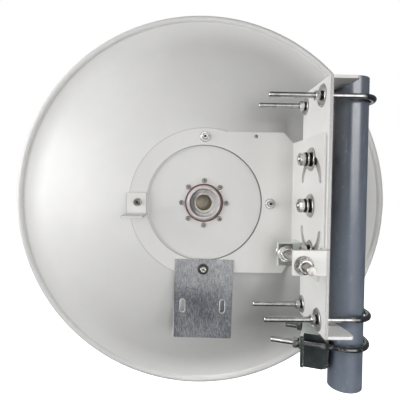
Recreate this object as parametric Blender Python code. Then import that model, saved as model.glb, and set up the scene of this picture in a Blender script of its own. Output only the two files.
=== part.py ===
"""Offset-clamped microwave dish antenna on a short mast stub.

World frame in metres: +Z up, +Y is the direction the dish looks along, and the mast stands to
the right of the dish (+X).  The origin is the centre of the mast's flat foot.
"""
from math import atan2, cos, pi, radians, sin, sqrt

import bpy
import bmesh
from mathutils import Matrix, Vector

# Dish axis and the rear face of the ring plate
DISH_X = -0.208
DISH_Z = 0.264
PLATE_BACK = 0.080
SHEET = 0.003
GAP = 0.0003

# Reflector
RIM_R = 0.350
ROLL_R = 0.0065
HUB_R = 0.122
BOWL_R = 0.309
FLANGE_R = 0.337
FOCAL = 0.236
SHELL = 0.0022
HUB_HOLE_R = 0.0283

# Ring plate and its folded elevation flange
RING_OUT_R = 0.1243
RING_IN_R = 0.0963
RING_SCREW_R = 0.1105
FLANGE_FACE_X = -0.0583
FLANGE_BACK_Y = -0.056
FLANGE_LOW_Z = 0.164
FLANGE_TOP_Z = 0.366
SLOT_W = 0.012
SLOT_R = 0.040
SLOT_HALF_ANGLE = 74.0
RELIEF = ((-0.0490, 0.2115), (-0.0448, 0.2020), (-0.0388, 0.1620))
RELIEF_TOP_Z = 0.2122

# Elevation pivot
PIVOT_Y = -0.006
PIVOT_Z = 0.266
CLAMP_R = 0.067

# Pole bracket
WEB_X = -0.055
WEB_T = 0.004
WEB_NEAR_Y = -0.065
WEB_FAR_Y = 0.046
WEB_LOW_Z = 0.094
WEB_TOP_Z = 0.438
JAW_TIP_X = -0.0165
JAW_HALF_ANGLE = 68.0
TAB_NEAR_Y = -0.0655
TAB_LEFT_X = -0.0995
TAB_LOW_Z = 0.1777
TAB_TOP_Z = 0.2110

# Mast and its U-bolts
MAST_R = 0.02415
MAST_WALL = 0.0032
MAST_TOP_Z = 0.450
LEG_Y = 0.035
U_ROD_R = 0.004
U_TOP_Z = 0.418
U_LOW_Z = 0.110
U_END_X = -0.128

# Support clamp under the bracket, turned about the mast
SUPPORT_TURN = 21.0
SUPPORT_Z = 0.0672
SUPPORT_LOW_Z = 0.029
SUPPORT_TOP_Z = 0.0795
SUPPORT_BASE = 0.0615
SADDLE_HALF_ANGLE = 68.0
SUPPORT_FRONT = 0.0260

# Fine adjuster
ROD_X = -0.0850
ROD_Z = 0.191
ROD_R = 0.006
ROD_NEAR_Y = -0.0985
ROD_FAR_Y = 0.058
LUG_Y = 0.0285
LUG_BOLT_Y = (0.044, 0.060)

WHITE = (0.80, 0.80, 0.78)
BOWL_WHITE = (0.74, 0.74, 0.72)
ZINC = (0.62, 0.61, 0.58)
BRIGHT = (0.72, 0.72, 0.70)
BLACK = (0.035, 0.045, 0.045)
MAST_GREY = (0.18, 0.21, 0.26)
SEAL_RED = (0.33, 0.12, 0.08)


def clear_scene():
    for thing in list(bpy.data.objects):
        bpy.data.objects.remove(thing, do_unlink=True)


def paint(name, colour, metallic, roughness):
    mat = bpy.data.materials.new(name)
    mat.use_nodes = True
    shader = mat.node_tree.nodes["Principled BSDF"]
    shader.inputs["Base Color"].default_value = (*colour, 1.0)
    shader.inputs["Metallic"].default_value = metallic
    shader.inputs["Roughness"].default_value = roughness
    mat.diffuse_color = (*colour, 1.0)
    return mat


def finish_mesh(name, bm, colour, metallic=0.0, roughness=0.5, sharp=30.0):
    """Turn a bmesh into a named object with its own material and clean normals."""
    bmesh.ops.remove_doubles(bm, verts=bm.verts, dist=1e-6)
    bmesh.ops.recalc_face_normals(bm, faces=bm.faces)
    mesh = bpy.data.meshes.new(name)
    bm.to_mesh(mesh)
    bm.free()
    obj = bpy.data.objects.new(name, mesh)
    bpy.context.scene.collection.objects.link(obj)
    mesh.shade_smooth()
    mesh.set_sharp_from_angle(angle=radians(sharp))
    mesh.materials.append(paint(name, colour, metallic, roughness))
    return obj


def add_prism(bm, outline, low, high, axis="Y"):
    """Extrude a closed outline from low to high along an axis.

    The outline holds (X, Z) pairs for axis Y, (Y, Z) for axis X and (X, Y) for axis Z.
    """
    def place(u, v, w):
        if axis == "Y":
            return (u, w, v)
        if axis == "X":
            return (w, u, v)
        return (u, v, w)
    first = [bm.verts.new(place(u, v, low)) for u, v in outline]
    last = [bm.verts.new(place(u, v, high)) for u, v in outline]
    bm.faces.new(first)
    bm.faces.new(list(reversed(last)))
    count = len(outline)
    for i in range(count):
        j = (i + 1) % count
        bm.faces.new((first[i], first[j], last[j], last[i]))


def circle(cx, cy, r, count, start=0.0):
    return [(cx + r * cos(start + 2 * pi * i / count),
             cy + r * sin(start + 2 * pi * i / count)) for i in range(count)]


def add_lathe(bm, profile, count, centre, axis="Y"):
    """Revolve (radius, distance) pairs about an axis through centre; radius 0 closes a pole."""
    rings = []
    for r, h in profile:
        if r < 1e-9:
            rings.append([bm.verts.new(lathe_point(0.0, 0.0, h, centre, axis))])
            continue
        ring = []
        for i in range(count):
            a = 2 * pi * i / count
            ring.append(bm.verts.new(lathe_point(r * cos(a), r * sin(a), h, centre, axis)))
        rings.append(ring)
    closed = rings[0] if len(rings[0]) > 1 and len(rings[-1]) > 1 else None
    pairs = list(zip(rings, rings[1:]))
    if closed:
        pairs.append((rings[-1], rings[0]))
    for low, high in pairs:
        for i in range(count):
            j = (i + 1) % count
            corners = [low[i % len(low)], low[j % len(low)], high[j % len(high)], high[i % len(high)]]
            corners = list(dict.fromkeys(corners))
            if len(corners) > 2:
                bm.faces.new(corners)


def lathe_point(u, v, h, centre, axis):
    x, y, z = centre
    if axis == "Y":
        return (x + u, y + h, z + v)
    if axis == "X":
        return (x + h, y + u, z + v)
    return (x + u, y + v, z + h)


def add_sweep(bm, path, r, count):
    """Carry a circle of radius r along a path of points and cap both ends."""
    points = [Vector(p) for p in path]
    side = None
    rings = []
    for i, p in enumerate(points):
        ahead = points[min(i + 1, len(points) - 1)] - p
        behind = p - points[max(i - 1, 0)]
        along = (ahead.normalized() + behind.normalized()).normalized()
        if side is None:
            side = along.orthogonal().normalized()
        side = (side - along * side.dot(along)).normalized()
        other = along.cross(side)
        rings.append([bm.verts.new(p + side * r * cos(2 * pi * k / count)
                                   + other * r * sin(2 * pi * k / count)) for k in range(count)])
    for low, high in zip(rings, rings[1:]):
        for k in range(count):
            n = (k + 1) % count
            bm.faces.new((low[k], low[n], high[n], high[k]))
    bm.faces.new(rings[0])
    bm.faces.new(list(reversed(rings[-1])))


def cut(target, cutter_mesh, operation="DIFFERENCE"):
    """Take a hidden cutter's volume out of the target, or keep what both share."""
    bmesh.ops.recalc_face_normals(cutter_mesh, faces=cutter_mesh.faces)
    mesh = bpy.data.meshes.new(target.name + "_cutter")
    cutter_mesh.to_mesh(mesh)
    cutter_mesh.free()
    cutter = bpy.data.objects.new(target.name + "_cutter", mesh)
    bpy.context.scene.collection.objects.link(cutter)
    cutter.hide_render = True
    cutter.display_type = "WIRE"
    mod = target.modifiers.new(operation.lower(), "BOOLEAN")
    mod.operation = operation
    mod.object = cutter
    mod.solver = "EXACT"


def dish_radius_to_depth(r):
    """Distance of the bowl's rear surface in front of the hub at radius r."""
    return (r * r - HUB_R * HUB_R) / (4 * FOCAL)


HUB_BACK = PLATE_BACK + SHEET + GAP


def make_reflector():
    """One spun shell: flat hub, parabolic bowl, shallow flange and a rolled bead at the edge."""
    back = [(HUB_HOLE_R, 0.0), (0.06, 0.0), (HUB_R - 0.004, 0.0), (HUB_R + 0.002, 0.0006)]
    steps = 11
    for i in range(1, steps + 1):
        r = HUB_R + (BOWL_R - HUB_R) * i / steps
        back.append((r, dish_radius_to_depth(r)))
    edge = back[-1][1]
    back.append((BOWL_R + 0.003, edge + 0.0013))
    back.append((FLANGE_R, edge + 0.0060))
    # The bead turns back towards the rear and closes on itself
    bead_r = RIM_R - ROLL_R
    bead_y = edge + 0.0065
    bead = []
    for k in range(8):
        a = radians(-150 + k * 37)
        bead.append((bead_r + ROLL_R * cos(a), bead_y + ROLL_R * sin(a)))
    front = []
    for i in range(len(back)):
        r, y = back[i]
        r0, y0 = back[max(i - 1, 0)]
        r1, y1 = back[min(i + 1, len(back) - 1)]
        length = sqrt((r1 - r0) ** 2 + (y1 - y0) ** 2)
        front.append((r - SHELL * (y1 - y0) / length, y + SHELL * (r1 - r0) / length))
    front[0] = (HUB_HOLE_R, SHELL)
    bm = bmesh.new()
    add_lathe(bm, back + bead + list(reversed(front)), 88, (DISH_X, HUB_BACK, DISH_Z))
    obj = finish_mesh("reflector", bm, BOWL_WHITE, 0.0, 0.45)
    holes = bmesh.new()
    for k in range(4):
        a = k * pi / 2
        add_prism(holes, circle(DISH_X + RING_SCREW_R * cos(a), DISH_Z + RING_SCREW_R * sin(a),
                                0.0044, 20), HUB_BACK - 0.01, HUB_BACK + 0.01)
    cut(obj, holes)


def plate_outline():
    """Rear view outline of the ring plate with its straight-edged extension to the fold."""
    right = WEB_X - GAP
    top = DISH_Z + 0.119
    low = DISH_Z - 0.116
    points = []
    a0 = atan2(0.119, sqrt(RING_OUT_R ** 2 - 0.119 ** 2))
    a1 = 2 * pi - atan2(0.116, sqrt(RING_OUT_R ** 2 - 0.116 ** 2))
    steps = 56
    for i in range(steps + 1):
        a = a0 + (a1 - a0) * i / steps
        points.append((DISH_X + RING_OUT_R * cos(a), DISH_Z + RING_OUT_R * sin(a)))
    points += [(-0.0755, low), (-0.066, FLANGE_LOW_Z), (right, FLANGE_LOW_Z),
               (right, FLANGE_TOP_Z), (-0.0605, FLANGE_TOP_Z), (-0.0765, top)]
    return points


def arc_slot(side):
    """Outline in Y and Z of a curved slot with round ends; side is 1 above the pivot, -1 below.

    Its middle lies on the clamping bolt. It bends more sharply than a circle about the pivot, which
    leaves the bolt free over the first ten degrees each way.
    """
    half = radians(SLOT_HALF_ANGLE)
    middle = side * pi / 2
    centre_z = PIVOT_Z + side * (CLAMP_R - SLOT_R)
    steps = 18
    caps = 6
    points = []
    for i in range(steps + 1):
        a = middle - half + 2 * half * i / steps
        points.append(polar(centre_z, SLOT_R + SLOT_W / 2, a))
    for i in range(1, caps):
        points.append(end_cap(centre_z, middle + half, middle + half + pi * i / caps))
    for i in range(steps + 1):
        a = middle + half - 2 * half * i / steps
        points.append(polar(centre_z, SLOT_R - SLOT_W / 2, a))
    for i in range(1, caps):
        points.append(end_cap(centre_z, middle - half, middle - half + pi + pi * i / caps))
    return points


def polar(centre_z, r, a):
    return (PIVOT_Y + r * cos(a), centre_z + r * sin(a))


def end_cap(centre_z, at, turn):
    y, z = polar(centre_z, SLOT_R, at)
    return (y + SLOT_W / 2 * cos(turn), z + SLOT_W / 2 * sin(turn))


def make_mounting_plate():
    """Sheet bent once: the ring lies on the hub and the flange runs back beside the web."""
    outer = 0.007
    inner = outer - SHEET
    right = WEB_X - GAP
    front = PLATE_BACK + SHEET
    near = FLANGE_BACK_Y - 0.002
    section = [(DISH_X - 0.15, front), (DISH_X - 0.15, PLATE_BACK)]
    for i in range(7):
        a = pi / 2 - (pi / 2) * i / 6
        section.append((right - outer + inner * cos(a), front - outer + inner * sin(a)))
    section += [(right - SHEET, FLANGE_BACK_Y), (right, FLANGE_BACK_Y)]
    for i in range(7):
        a = (pi / 2) * i / 6
        section.append((right - outer + outer * cos(a), front - outer + outer * sin(a)))
    bm = bmesh.new()
    add_prism(bm, section, DISH_Z - 0.2, DISH_Z + 0.2, "Z")
    obj = finish_mesh("mounting_plate", bm, WHITE, 0.0, 0.42)
    keep = bmesh.new()
    add_prism(keep, plate_outline(), FLANGE_BACK_Y - 0.01, PLATE_BACK + 0.02)
    cut(obj, keep, "INTERSECT")
    holes = bmesh.new()
    add_prism(holes, circle(DISH_X, DISH_Z, RING_IN_R, 80), PLATE_BACK - 0.02, PLATE_BACK + 0.02)
    for k in range(4):
        a = k * pi / 2
        add_prism(holes, circle(DISH_X + RING_SCREW_R * cos(a), DISH_Z + RING_SCREW_R * sin(a),
                                0.0044, 20), PLATE_BACK - 0.02, PLATE_BACK + 0.02)
    add_prism(holes, circle(-0.1230, DISH_Z + 0.1120, 0.0032, 16),
              PLATE_BACK - 0.02, PLATE_BACK + 0.02)
    cut(obj, holes)
    slots = bmesh.new()
    add_prism(slots, arc_slot(1), -0.07, -0.045, "X")
    add_prism(slots, arc_slot(-1), -0.07, -0.045, "X")
    add_prism(slots, circle(PIVOT_Y, PIVOT_Z, 0.00535, 24), -0.07, -0.045, "X")
    for y in LUG_BOLT_Y:
        add_prism(slots, circle(y, ROD_Z, 0.0033, 16), -0.07, -0.045, "X")
    # The near edge is relieved behind the tab, so that the dish can look down
    relief = [(FLANGE_BACK_Y, RELIEF_TOP_Z), *RELIEF, (near, RELIEF[-1][1]),
              (near, RELIEF_TOP_Z)]
    add_prism(slots, relief, -0.07, -0.045, "X")
    cut(obj, slots)


def make_feed():
    """Rear port on the hub, its seal, and the feed that stands in front of the bowl."""
    centre = (DISH_X, HUB_BACK, DISH_Z)
    bm = bmesh.new()
    port = [(0.0310, -0.0012), (0.0310, -GAP), (0.0280, -GAP), (0.0280, 0.012), (0.0160, 0.012),
            (0.0160, 0.006), (0.0167, 0.0055), (0.0167, 0.002), (0.0230, 0.002),
            (0.0230, -0.0052), (0.0238, -0.0060), (0.0262, -0.0060)]
    add_lathe(bm, port, 48, centre)
    finish_mesh("feed_port", bm, (0.78, 0.77, 0.74), 0.2, 0.35)
    bm = bmesh.new()
    add_lathe(bm, [(0.03135, -0.0020), (0.03135, -GAP), (0.0333, -GAP), (0.0333, -0.0020)],
              48, centre)
    finish_mesh("port_seal", bm, SEAL_RED, 0.0, 0.6)
    bm = bmesh.new()
    tube = [(0.0135, 0.0123), (0.0420, 0.0123), (0.0420, 0.0170), (0.0175, 0.0170),
            (0.0160, 0.0190), (0.0160, 0.1050), (0.0135, 0.1050)]
    add_lathe(bm, tube, 40, centre)
    obj = finish_mesh("feed_tube", bm, ZINC, 0.9, 0.35)
    holes = bmesh.new()
    for k in range(8):
        a = k * pi / 4
        add_prism(holes, circle(DISH_X + 0.0372 * cos(a), DISH_Z + 0.0372 * sin(a), 0.0022, 12),
                  HUB_BACK + 0.01, HUB_BACK + 0.02)
    cut(obj, holes)
    bm = bmesh.new()
    cone = [(0.0, 0.0850), (0.0040, 0.0860), (0.0132, 0.1020), (0.0132, 0.1053), (0.0172, 0.1053),
            (0.0310, 0.1350), (0.0310, 0.1380), (0.0, 0.1380)]
    add_lathe(bm, cone, 36, centre)
    finish_mesh("feed_cone", bm, (0.75, 0.74, 0.70), 0.0, 0.5)
    bm = bmesh.new()
    splash = [(0.0, 0.1383), (0.0390, 0.1383), (0.0400, 0.1393), (0.0400, 0.1413),
              (0.0390, 0.1423), (0.0, 0.1423)]
    add_lathe(bm, splash, 40, centre)
    finish_mesh("subreflector", bm, ZINC, 0.9, 0.3)


def hexagon(cx, cy, across_flats, turn=0.0):
    return circle(cx, cy, across_flats / sqrt(3), 6, turn)


def make_screw(name, x, z, front_y, head_y, washer_r, head_r):
    """Ring screw: round head and washer behind the plate, shank through hub, nut in front."""
    bm = bmesh.new()
    nut = 0.0050
    body = [(0.0, head_y - 0.0060), (head_r - 0.0008, head_y - 0.0060), (head_r, head_y - 0.0050),
            (head_r, head_y - 0.0016), (washer_r, head_y - 0.0016), (washer_r, head_y),
            (0.0040, head_y), (0.0040, front_y), (0.0064, front_y), (0.0064, front_y + nut),
            (0.0040, front_y + nut), (0.0040, front_y + nut + 0.0025), (0.0, front_y + nut + 0.0030)]
    add_lathe(bm, body, 24, (x, 0.0, z))
    obj = finish_mesh(name, bm, BRIGHT, 0.9, 0.3)
    socket = bmesh.new()
    add_prism(socket, hexagon(x, z, 0.0040), head_y - 0.0070, head_y - 0.0032)
    cut(obj, socket)


def make_ring_screws():
    places = ((1, 0, 1, 0.0), (2, 1, 0, 0.0), (3, 0, -1, 0.0023), (4, -1, 0, 0.0039))
    for number, u, v, packing in places:
        x = DISH_X + RING_SCREW_R * u
        z = DISH_Z + RING_SCREW_R * v
        make_screw("ring_screw_%d" % number, x, z, HUB_BACK + SHELL + GAP,
                   PLATE_BACK - GAP - packing, 0.0080 if number != 4 else 0.0070, 0.0055)


def make_slotted_plate():
    """Zinc plate hung from the ring's lowest screw, a little out of square."""
    turn = radians(-1.2)
    cx = DISH_X + 0.0008
    cz = DISH_Z - 0.1596
    half_w = 0.0488
    half_h = 0.0659
    back = PLATE_BACK - GAP
    bm = bmesh.new()
    add_prism(bm, rounded(cx, cz, half_w, half_h, 0.0015, 3, turn), back - 0.0020, back)
    obj = finish_mesh("slotted_plate", bm, ZINC, 0.9, 0.4)
    holes = bmesh.new()
    for dx in (-0.0343, 0.0322):
        u, v = spin(dx, -0.0125, turn)
        add_prism(holes, rounded(cx + u, cz + v, 0.0039, 0.0108, 0.00385, 6, turn),
                  back - 0.01, back + 0.01)
    add_prism(holes, circle(DISH_X, DISH_Z - RING_SCREW_R, 0.0044, 20), back - 0.01, back + 0.01)
    cut(obj, holes)


def spin(u, v, turn):
    return (u * cos(turn) - v * sin(turn), u * sin(turn) + v * cos(turn))


def rounded(cx, cy, half_w, half_h, r, steps, turn=0.0):
    """Rectangle with rounded corners, turned about its own middle."""
    points = []
    for k, (sx, sy) in enumerate(((1, 1), (-1, 1), (-1, -1), (1, -1))):
        for i in range(steps + 1):
            a = k * pi / 2 + (pi / 2) * i / steps
            u = sx * (half_w - r) + r * cos(a)
            v = sy * (half_h - r) + r * sin(a)
            u, v = spin(u, v, turn)
            points.append((cx + u, cy + v))
    return points


def make_side_bracket():
    """Small angle under the ring's left screw, with its leg standing back towards the rear."""
    back = PLATE_BACK - GAP
    left = DISH_X - 0.1290
    right = DISH_X - 0.0955
    top = DISH_Z + 0.0165
    low = DISH_Z - 0.0225
    thick = 0.0036
    bend = 0.0060
    section = [(back, top), (back - thick, top)]
    for i in range(6):
        a = -(pi / 2) * i / 5
        section.append((back - bend + (bend - thick) * cos(a), low + bend + (bend - thick) * sin(a)))
    section += [(0.0220, low + thick), (0.0220, low)]
    for i in range(6):
        a = -pi / 2 + (pi / 2) * i / 5
        section.append((back - bend + bend * cos(a), low + bend + bend * sin(a)))
    bm = bmesh.new()
    add_prism(bm, section, left, right, "X")
    obj = finish_mesh("side_bracket", bm, WHITE, 0.0, 0.42)
    keep = bmesh.new()
    mid_x = (left + right) / 2
    add_prism(keep, rounded(mid_x, DISH_Z - 0.0035, (right - left) / 2 + 0.0001, 0.0200, 0.0035, 5),
              -0.01, 0.1)
    cut(obj, keep, "INTERSECT")
    holes = bmesh.new()
    add_prism(holes, circle(DISH_X - RING_SCREW_R, DISH_Z, 0.0044, 20), back - 0.01, back + 0.01)
    add_prism(holes, circle(mid_x, 0.042, 0.0055, 20), low - 0.01, low + 0.01, "Z")
    cut(obj, holes)


def jaw_outline(front_tip, back_tip):
    """Flange of the pole bracket seen from above, with a toothed V that grips the mast."""
    turn = radians(JAW_HALF_ANGLE)
    apex = -(MAST_R + GAP) / sin(turn)
    mouth = 0.017
    teeth = 6
    slope = cos(turn) / sin(turn)
    side = []
    for i in range(teeth):
        s = mouth * (i + 0.35) / teeth
        side.append((apex + s * slope, s))
        s = mouth * (i + 0.85) / teeth
        side.append((apex + s * slope - 0.0016, s))
    lower = [(x, -y) for x, y in reversed(side)]
    points = [(WEB_X + 0.001, front_tip), (JAW_TIP_X - 0.003, front_tip),
              (JAW_TIP_X, front_tip + 0.003), (JAW_TIP_X, -0.0420)]
    points += lower
    points += side
    points += [(JAW_TIP_X, 0.0380), (JAW_TIP_X, back_tip - 0.003),
               (JAW_TIP_X - 0.003, back_tip), (WEB_X + 0.001, back_tip)]
    return points


def make_pole_bracket():
    """Folded channel: tall web, a toothed jaw flange at each end and the adjuster tab."""
    web = [(WEB_NEAR_Y, WEB_LOW_Z), (WEB_FAR_Y - 0.003, WEB_LOW_Z), (WEB_FAR_Y, WEB_LOW_Z + 0.003),
           (WEB_FAR_Y, WEB_TOP_Z - 0.003), (WEB_FAR_Y - 0.003, WEB_TOP_Z), (WEB_NEAR_Y, WEB_TOP_Z)]
    bm = bmesh.new()
    add_prism(bm, web, WEB_X, WEB_X + WEB_T, "X")
    obj = finish_mesh("pole_bracket", bm, WHITE, 0.0, 0.4)
    add = bmesh.new()
    outline = jaw_outline(WEB_NEAR_Y, WEB_FAR_Y - 0.001)
    add_prism(add, outline, WEB_TOP_Z - WEB_T, WEB_TOP_Z, "Z")
    add_prism(add, outline, WEB_LOW_Z, WEB_LOW_Z + WEB_T, "Z")
    cut(obj, add, "UNION")
    add = bmesh.new()
    # The tab stands square to the web, level with its near edge
    corner = 0.0008
    root = WEB_X + WEB_T - 0.0010
    tab = [(root, TAB_LOW_Z), (root, TAB_TOP_Z), (TAB_LEFT_X + corner, TAB_TOP_Z),
           (TAB_LEFT_X, TAB_TOP_Z - corner), (TAB_LEFT_X, TAB_LOW_Z + corner),
           (TAB_LEFT_X + corner, TAB_LOW_Z)]
    add_prism(add, tab, TAB_NEAR_Y, TAB_NEAR_Y + WEB_T, "Y")
    cut(obj, add, "UNION")
    holes = bmesh.new()
    for angle in (90, -90):
        a = radians(angle)
        add_prism(holes, circle(PIVOT_Y + CLAMP_R * cos(a), PIVOT_Z + CLAMP_R * sin(a),
                                0.0053, 24), WEB_X - 0.01, WEB_X + 0.01, "X")
    add_prism(holes, circle(PIVOT_Y, PIVOT_Z, 0.0053, 24), WEB_X - 0.01, WEB_X + 0.01, "X")
    for z in (U_TOP_Z, U_LOW_Z):
        for y in (LEG_Y, -LEG_Y):
            add_prism(holes, rounded(y, z, 0.0046, 0.0046, 0.00459, 6),
                      WEB_X - 0.01, WEB_X + 0.01, "X")
    add_prism(holes, circle(ROD_X, ROD_Z, 0.0066, 24), TAB_NEAR_Y - 0.01, TAB_NEAR_Y + 0.02, "Y")
    cut(obj, holes)


def u_path(end, far_end, leg_y, reach):
    """Centre line of a U-bolt about the mast: two legs along -X and a bend on the +X side."""
    bend = []
    steps = 16
    squash = reach / leg_y
    for i in range(steps + 1):
        a = -pi / 2 + pi * i / steps
        bend.append((squash * leg_y * cos(a), leg_y * sin(a)))
    return [(end, -leg_y), (-0.02, -leg_y)] + bend + [(-0.02, leg_y), (far_end, leg_y)]


def place_points(points, z, turn):
    c = cos(turn)
    s = sin(turn)
    return [(x * c - y * s, x * s + y * c, z) for x, y in points]


def make_u_bolts():
    reach = MAST_R + GAP + U_ROD_R
    for name, z, end, far_end, turn in (
            ("u_bolt_top", U_TOP_Z, U_END_X, U_END_X, 0.0),
            ("u_bolt_low", U_LOW_Z, U_END_X - 0.001, U_END_X - 0.004, 0.0),
            ("u_bolt_support", SUPPORT_Z, -0.104, -0.090, -radians(SUPPORT_TURN))):
        bm = bmesh.new()
        add_sweep(bm, place_points(u_path(end, far_end, LEG_Y, reach), z, turn), U_ROD_R, 16)
        finish_mesh(name, bm, BRIGHT, 0.95, 0.22)


def add_hardware(bm, rows, centre, axis, turn=0):
    """Revolve rows of (size, distance, kind) into a bolt or nut; a hex row gives its flats.

    The turn counts steps of fifteen degrees, so that every corner of a hexagon is a vertex.
    """
    count = 24
    loops = []
    for size, h, kind in rows:
        if size == 0.0:
            loops.append([bm.verts.new(lathe_point(0.0, 0.0, h, centre, axis))])
            continue
        loop = []
        for i in range(count):
            a = 2 * pi * i / count
            r = size
            if kind == "hex":
                off = (a - radians(15) * turn) % (pi / 3)
                r = size / 2 / cos(off - pi / 6)
            loop.append(bm.verts.new(lathe_point(r * cos(a), r * sin(a), h, centre, axis)))
        loops.append(loop)
    pairs = list(zip(loops, loops[1:]))
    if len(loops[0]) > 1:
        pairs.append((loops[-1], loops[0]))
    for low, high in pairs:
        for i in range(count):
            j = (i + 1) % count
            corners = [low[i % len(low)], low[j % len(low)], high[j % len(high)], high[i % len(high)]]
            corners = list(dict.fromkeys(corners))
            bm.faces.new(corners)


def make_nut(name, centre, axis, seat, flats, thick, washer_r, washer_t, bore, turn=0, z_turn=0.0):
    """Hex nut on a washer; seat is the face of the washer, the nut lies on its -axis side."""
    bm = bmesh.new()
    under = seat - washer_t
    end = under - thick
    rows = [(washer_r, seat, "round"), (washer_r, under, "round"), (flats, under, "hex"),
            (flats, end + 0.0009, "hex"), (flats * 0.93, end, "hex"), (bore, end, "round"),
            (bore, seat, "round")]
    add_hardware(bm, rows, centre, axis, turn)
    if z_turn:
        bmesh.ops.rotate(bm, verts=bm.verts, cent=(0, 0, 0), matrix=Matrix.Rotation(z_turn, 3, "Z"))
    return finish_mesh(name, bm, ZINC, 0.9, 0.3)


def make_u_nuts():
    bore = U_ROD_R + 0.00015
    number = 1
    for z in (U_TOP_Z, U_LOW_Z):
        for y in (-LEG_Y, LEG_Y):
            make_nut("u_nut_%d" % number, (0.0, y, z), "X", WEB_X - GAP,
                     0.013, 0.0068, 0.0120, 0.0018, bore, turn=number)
            number += 1
    for y in (-LEG_Y, LEG_Y):
        make_nut("u_nut_%d" % number, (0.0, y, SUPPORT_Z), "X", -SUPPORT_BASE - GAP,
                 0.013, 0.0068, 0.0085, 0.0016, bore, turn=number,
                 z_turn=-radians(SUPPORT_TURN))
        number += 1


def make_elevation_bolts():
    """M10 bolts through flange and web: washers under a hexagon on the left, nut on the right.

    The upper two carry three more washers and show the end of the thread.
    """
    web_right = WEB_X + WEB_T
    start = FLANGE_FACE_X - GAP
    nut = web_right + GAP
    places = ((1, CLAMP_R, 0.0098, 0.0165), (2, 0.0, 0.0098, 0.0165), (3, -CLAMP_R, 0.0052, 0.0150))
    for number, dz, stack, wide in places:
        bm = bmesh.new()
        under = start - stack
        top = under - 0.0080 if stack > 0.006 else under - 0.0073
        rows = [(0.0, top, "round")]
        if stack > 0.006:
            rows = [(0.0, top - 0.0016, "round"), (0.0042, top - 0.0016, "round"),
                    (0.0050, top - 0.0009, "round"), (0.0050, top, "round")]
        rows += [(0.0158, top, "hex"), (0.017, top + 0.0009, "hex"), (0.017, under, "hex"),
                (0.0105, under, "round"), (0.0105, start - 0.0026, "round"),
                (wide, start - 0.0026, "round"), (wide, start, "round"),
                (0.0050, start, "round"), (0.0050, nut, "round"), (0.017, nut, "hex"),
                (0.017, nut + 0.0080, "hex"), (0.0050, nut + 0.0080, "round"),
                (0.0050, nut + 0.0105, "round"), (0.0, nut + 0.0110, "round")]
        add_hardware(bm, rows, (0.0, PIVOT_Y, PIVOT_Z + dz), "X", number)
        finish_mesh("elevation_bolt_%d" % number, bm, ZINC, 0.9, 0.35)


def make_adjuster():
    """Threaded rod along Y, the lug it pulls on, and the nuts that set it."""
    bm = bmesh.new()
    thread = [(0.0, ROD_NEAR_Y), (ROD_R - 0.001, ROD_NEAR_Y), (ROD_R, ROD_NEAR_Y + 0.001),
              (ROD_R, ROD_FAR_Y - 0.001), (ROD_R - 0.001, ROD_FAR_Y), (0.0, ROD_FAR_Y)]
    add_lathe(bm, thread, 28, (ROD_X, 0.0, ROD_Z))
    finish_mesh("adjusting_rod", bm, ZINC, 0.9, 0.3)
    tab_back = TAB_NEAR_Y + WEB_T
    loose = ROD_R + 0.0005
    tight = ROD_R + 0.00015
    make_nut("tab_nut_near", (ROD_X, 0.0, ROD_Z), "Y", TAB_NEAR_Y - GAP,
             0.018, 0.0095, 0.0120, 0.0020, loose, turn=1)
    make_nut_mirrored("tab_nut_far", tab_back + GAP, 2, loose)
    lug_near = LUG_Y - 0.0025
    lug_far = LUG_Y + 0.0025
    make_nut("lug_nut_near", (ROD_X, 0.0, ROD_Z), "Y", lug_near - 0.0036,
             0.018, 0.0095, 0.0120, 0.0020, tight, turn=3)
    make_nut_mirrored("lug_nut_far", lug_far + 0.0036, 0, tight)


def make_nut_mirrored(name, seat, turn, bore):
    """Same nut and washer, with the nut on the far side of its seat."""
    obj = make_nut(name, (ROD_X, 0.0, ROD_Z), "Y", 0.0, 0.018, 0.0095, 0.0120, 0.0020,
                   bore, turn)
    flip = Matrix.Translation((0.0, seat, 0.0)) @ Matrix.Scale(-1.0, 4, (0.0, 1.0, 0.0))
    obj.data.transform(flip)
    obj.data.flip_normals()


def make_lug():
    """Zinc angle bolted to the flange; its plate has an upright slot for the rod."""
    left = ROD_X - 0.0115
    right = FLANGE_FACE_X - GAP
    low = ROD_Z - 0.0190
    top = ROD_Z + 0.0158
    near = LUG_Y - 0.0025
    far = LUG_Y + 0.0025
    section = [(left, near), (right - 0.002, near), (right, near + 0.002), (right, 0.070),
               (right - 0.004, 0.070), (right - 0.004, far), (left, far)]
    bm = bmesh.new()
    add_prism(bm, section, low, top, "Z")
    obj = finish_mesh("adjuster_lug", bm, ZINC, 0.9, 0.4)
    holes = bmesh.new()
    rod_slot = rounded(ROD_X, ROD_Z - 0.0011, 0.0072, 0.0130, 0.0071, 6)
    add_prism(holes, rod_slot, near - 0.01, far + 0.01, "Y")
    for y in LUG_BOLT_Y:
        add_prism(holes, circle(y, ROD_Z, 0.0033, 16), right - 0.01, right + 0.002, "X")
    cut(obj, holes)
    for number, y in enumerate(LUG_BOLT_Y, 1):
        bm = bmesh.new()
        inner = right - 0.004 - GAP
        body = [(0.0, inner - 0.0060), (0.0050, inner - 0.0055), (0.0057, inner - 0.0045),
                (0.0057, inner), (0.0030, inner), (0.0030, FLANGE_FACE_X + 0.0026),
                (0.0, FLANGE_FACE_X + 0.0026)]
        add_lathe(bm, body, 24, (0.0, y, ROD_Z), "X")
        finish_mesh("lug_bolt_%d" % number, bm, BRIGHT, 0.9, 0.3)


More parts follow.
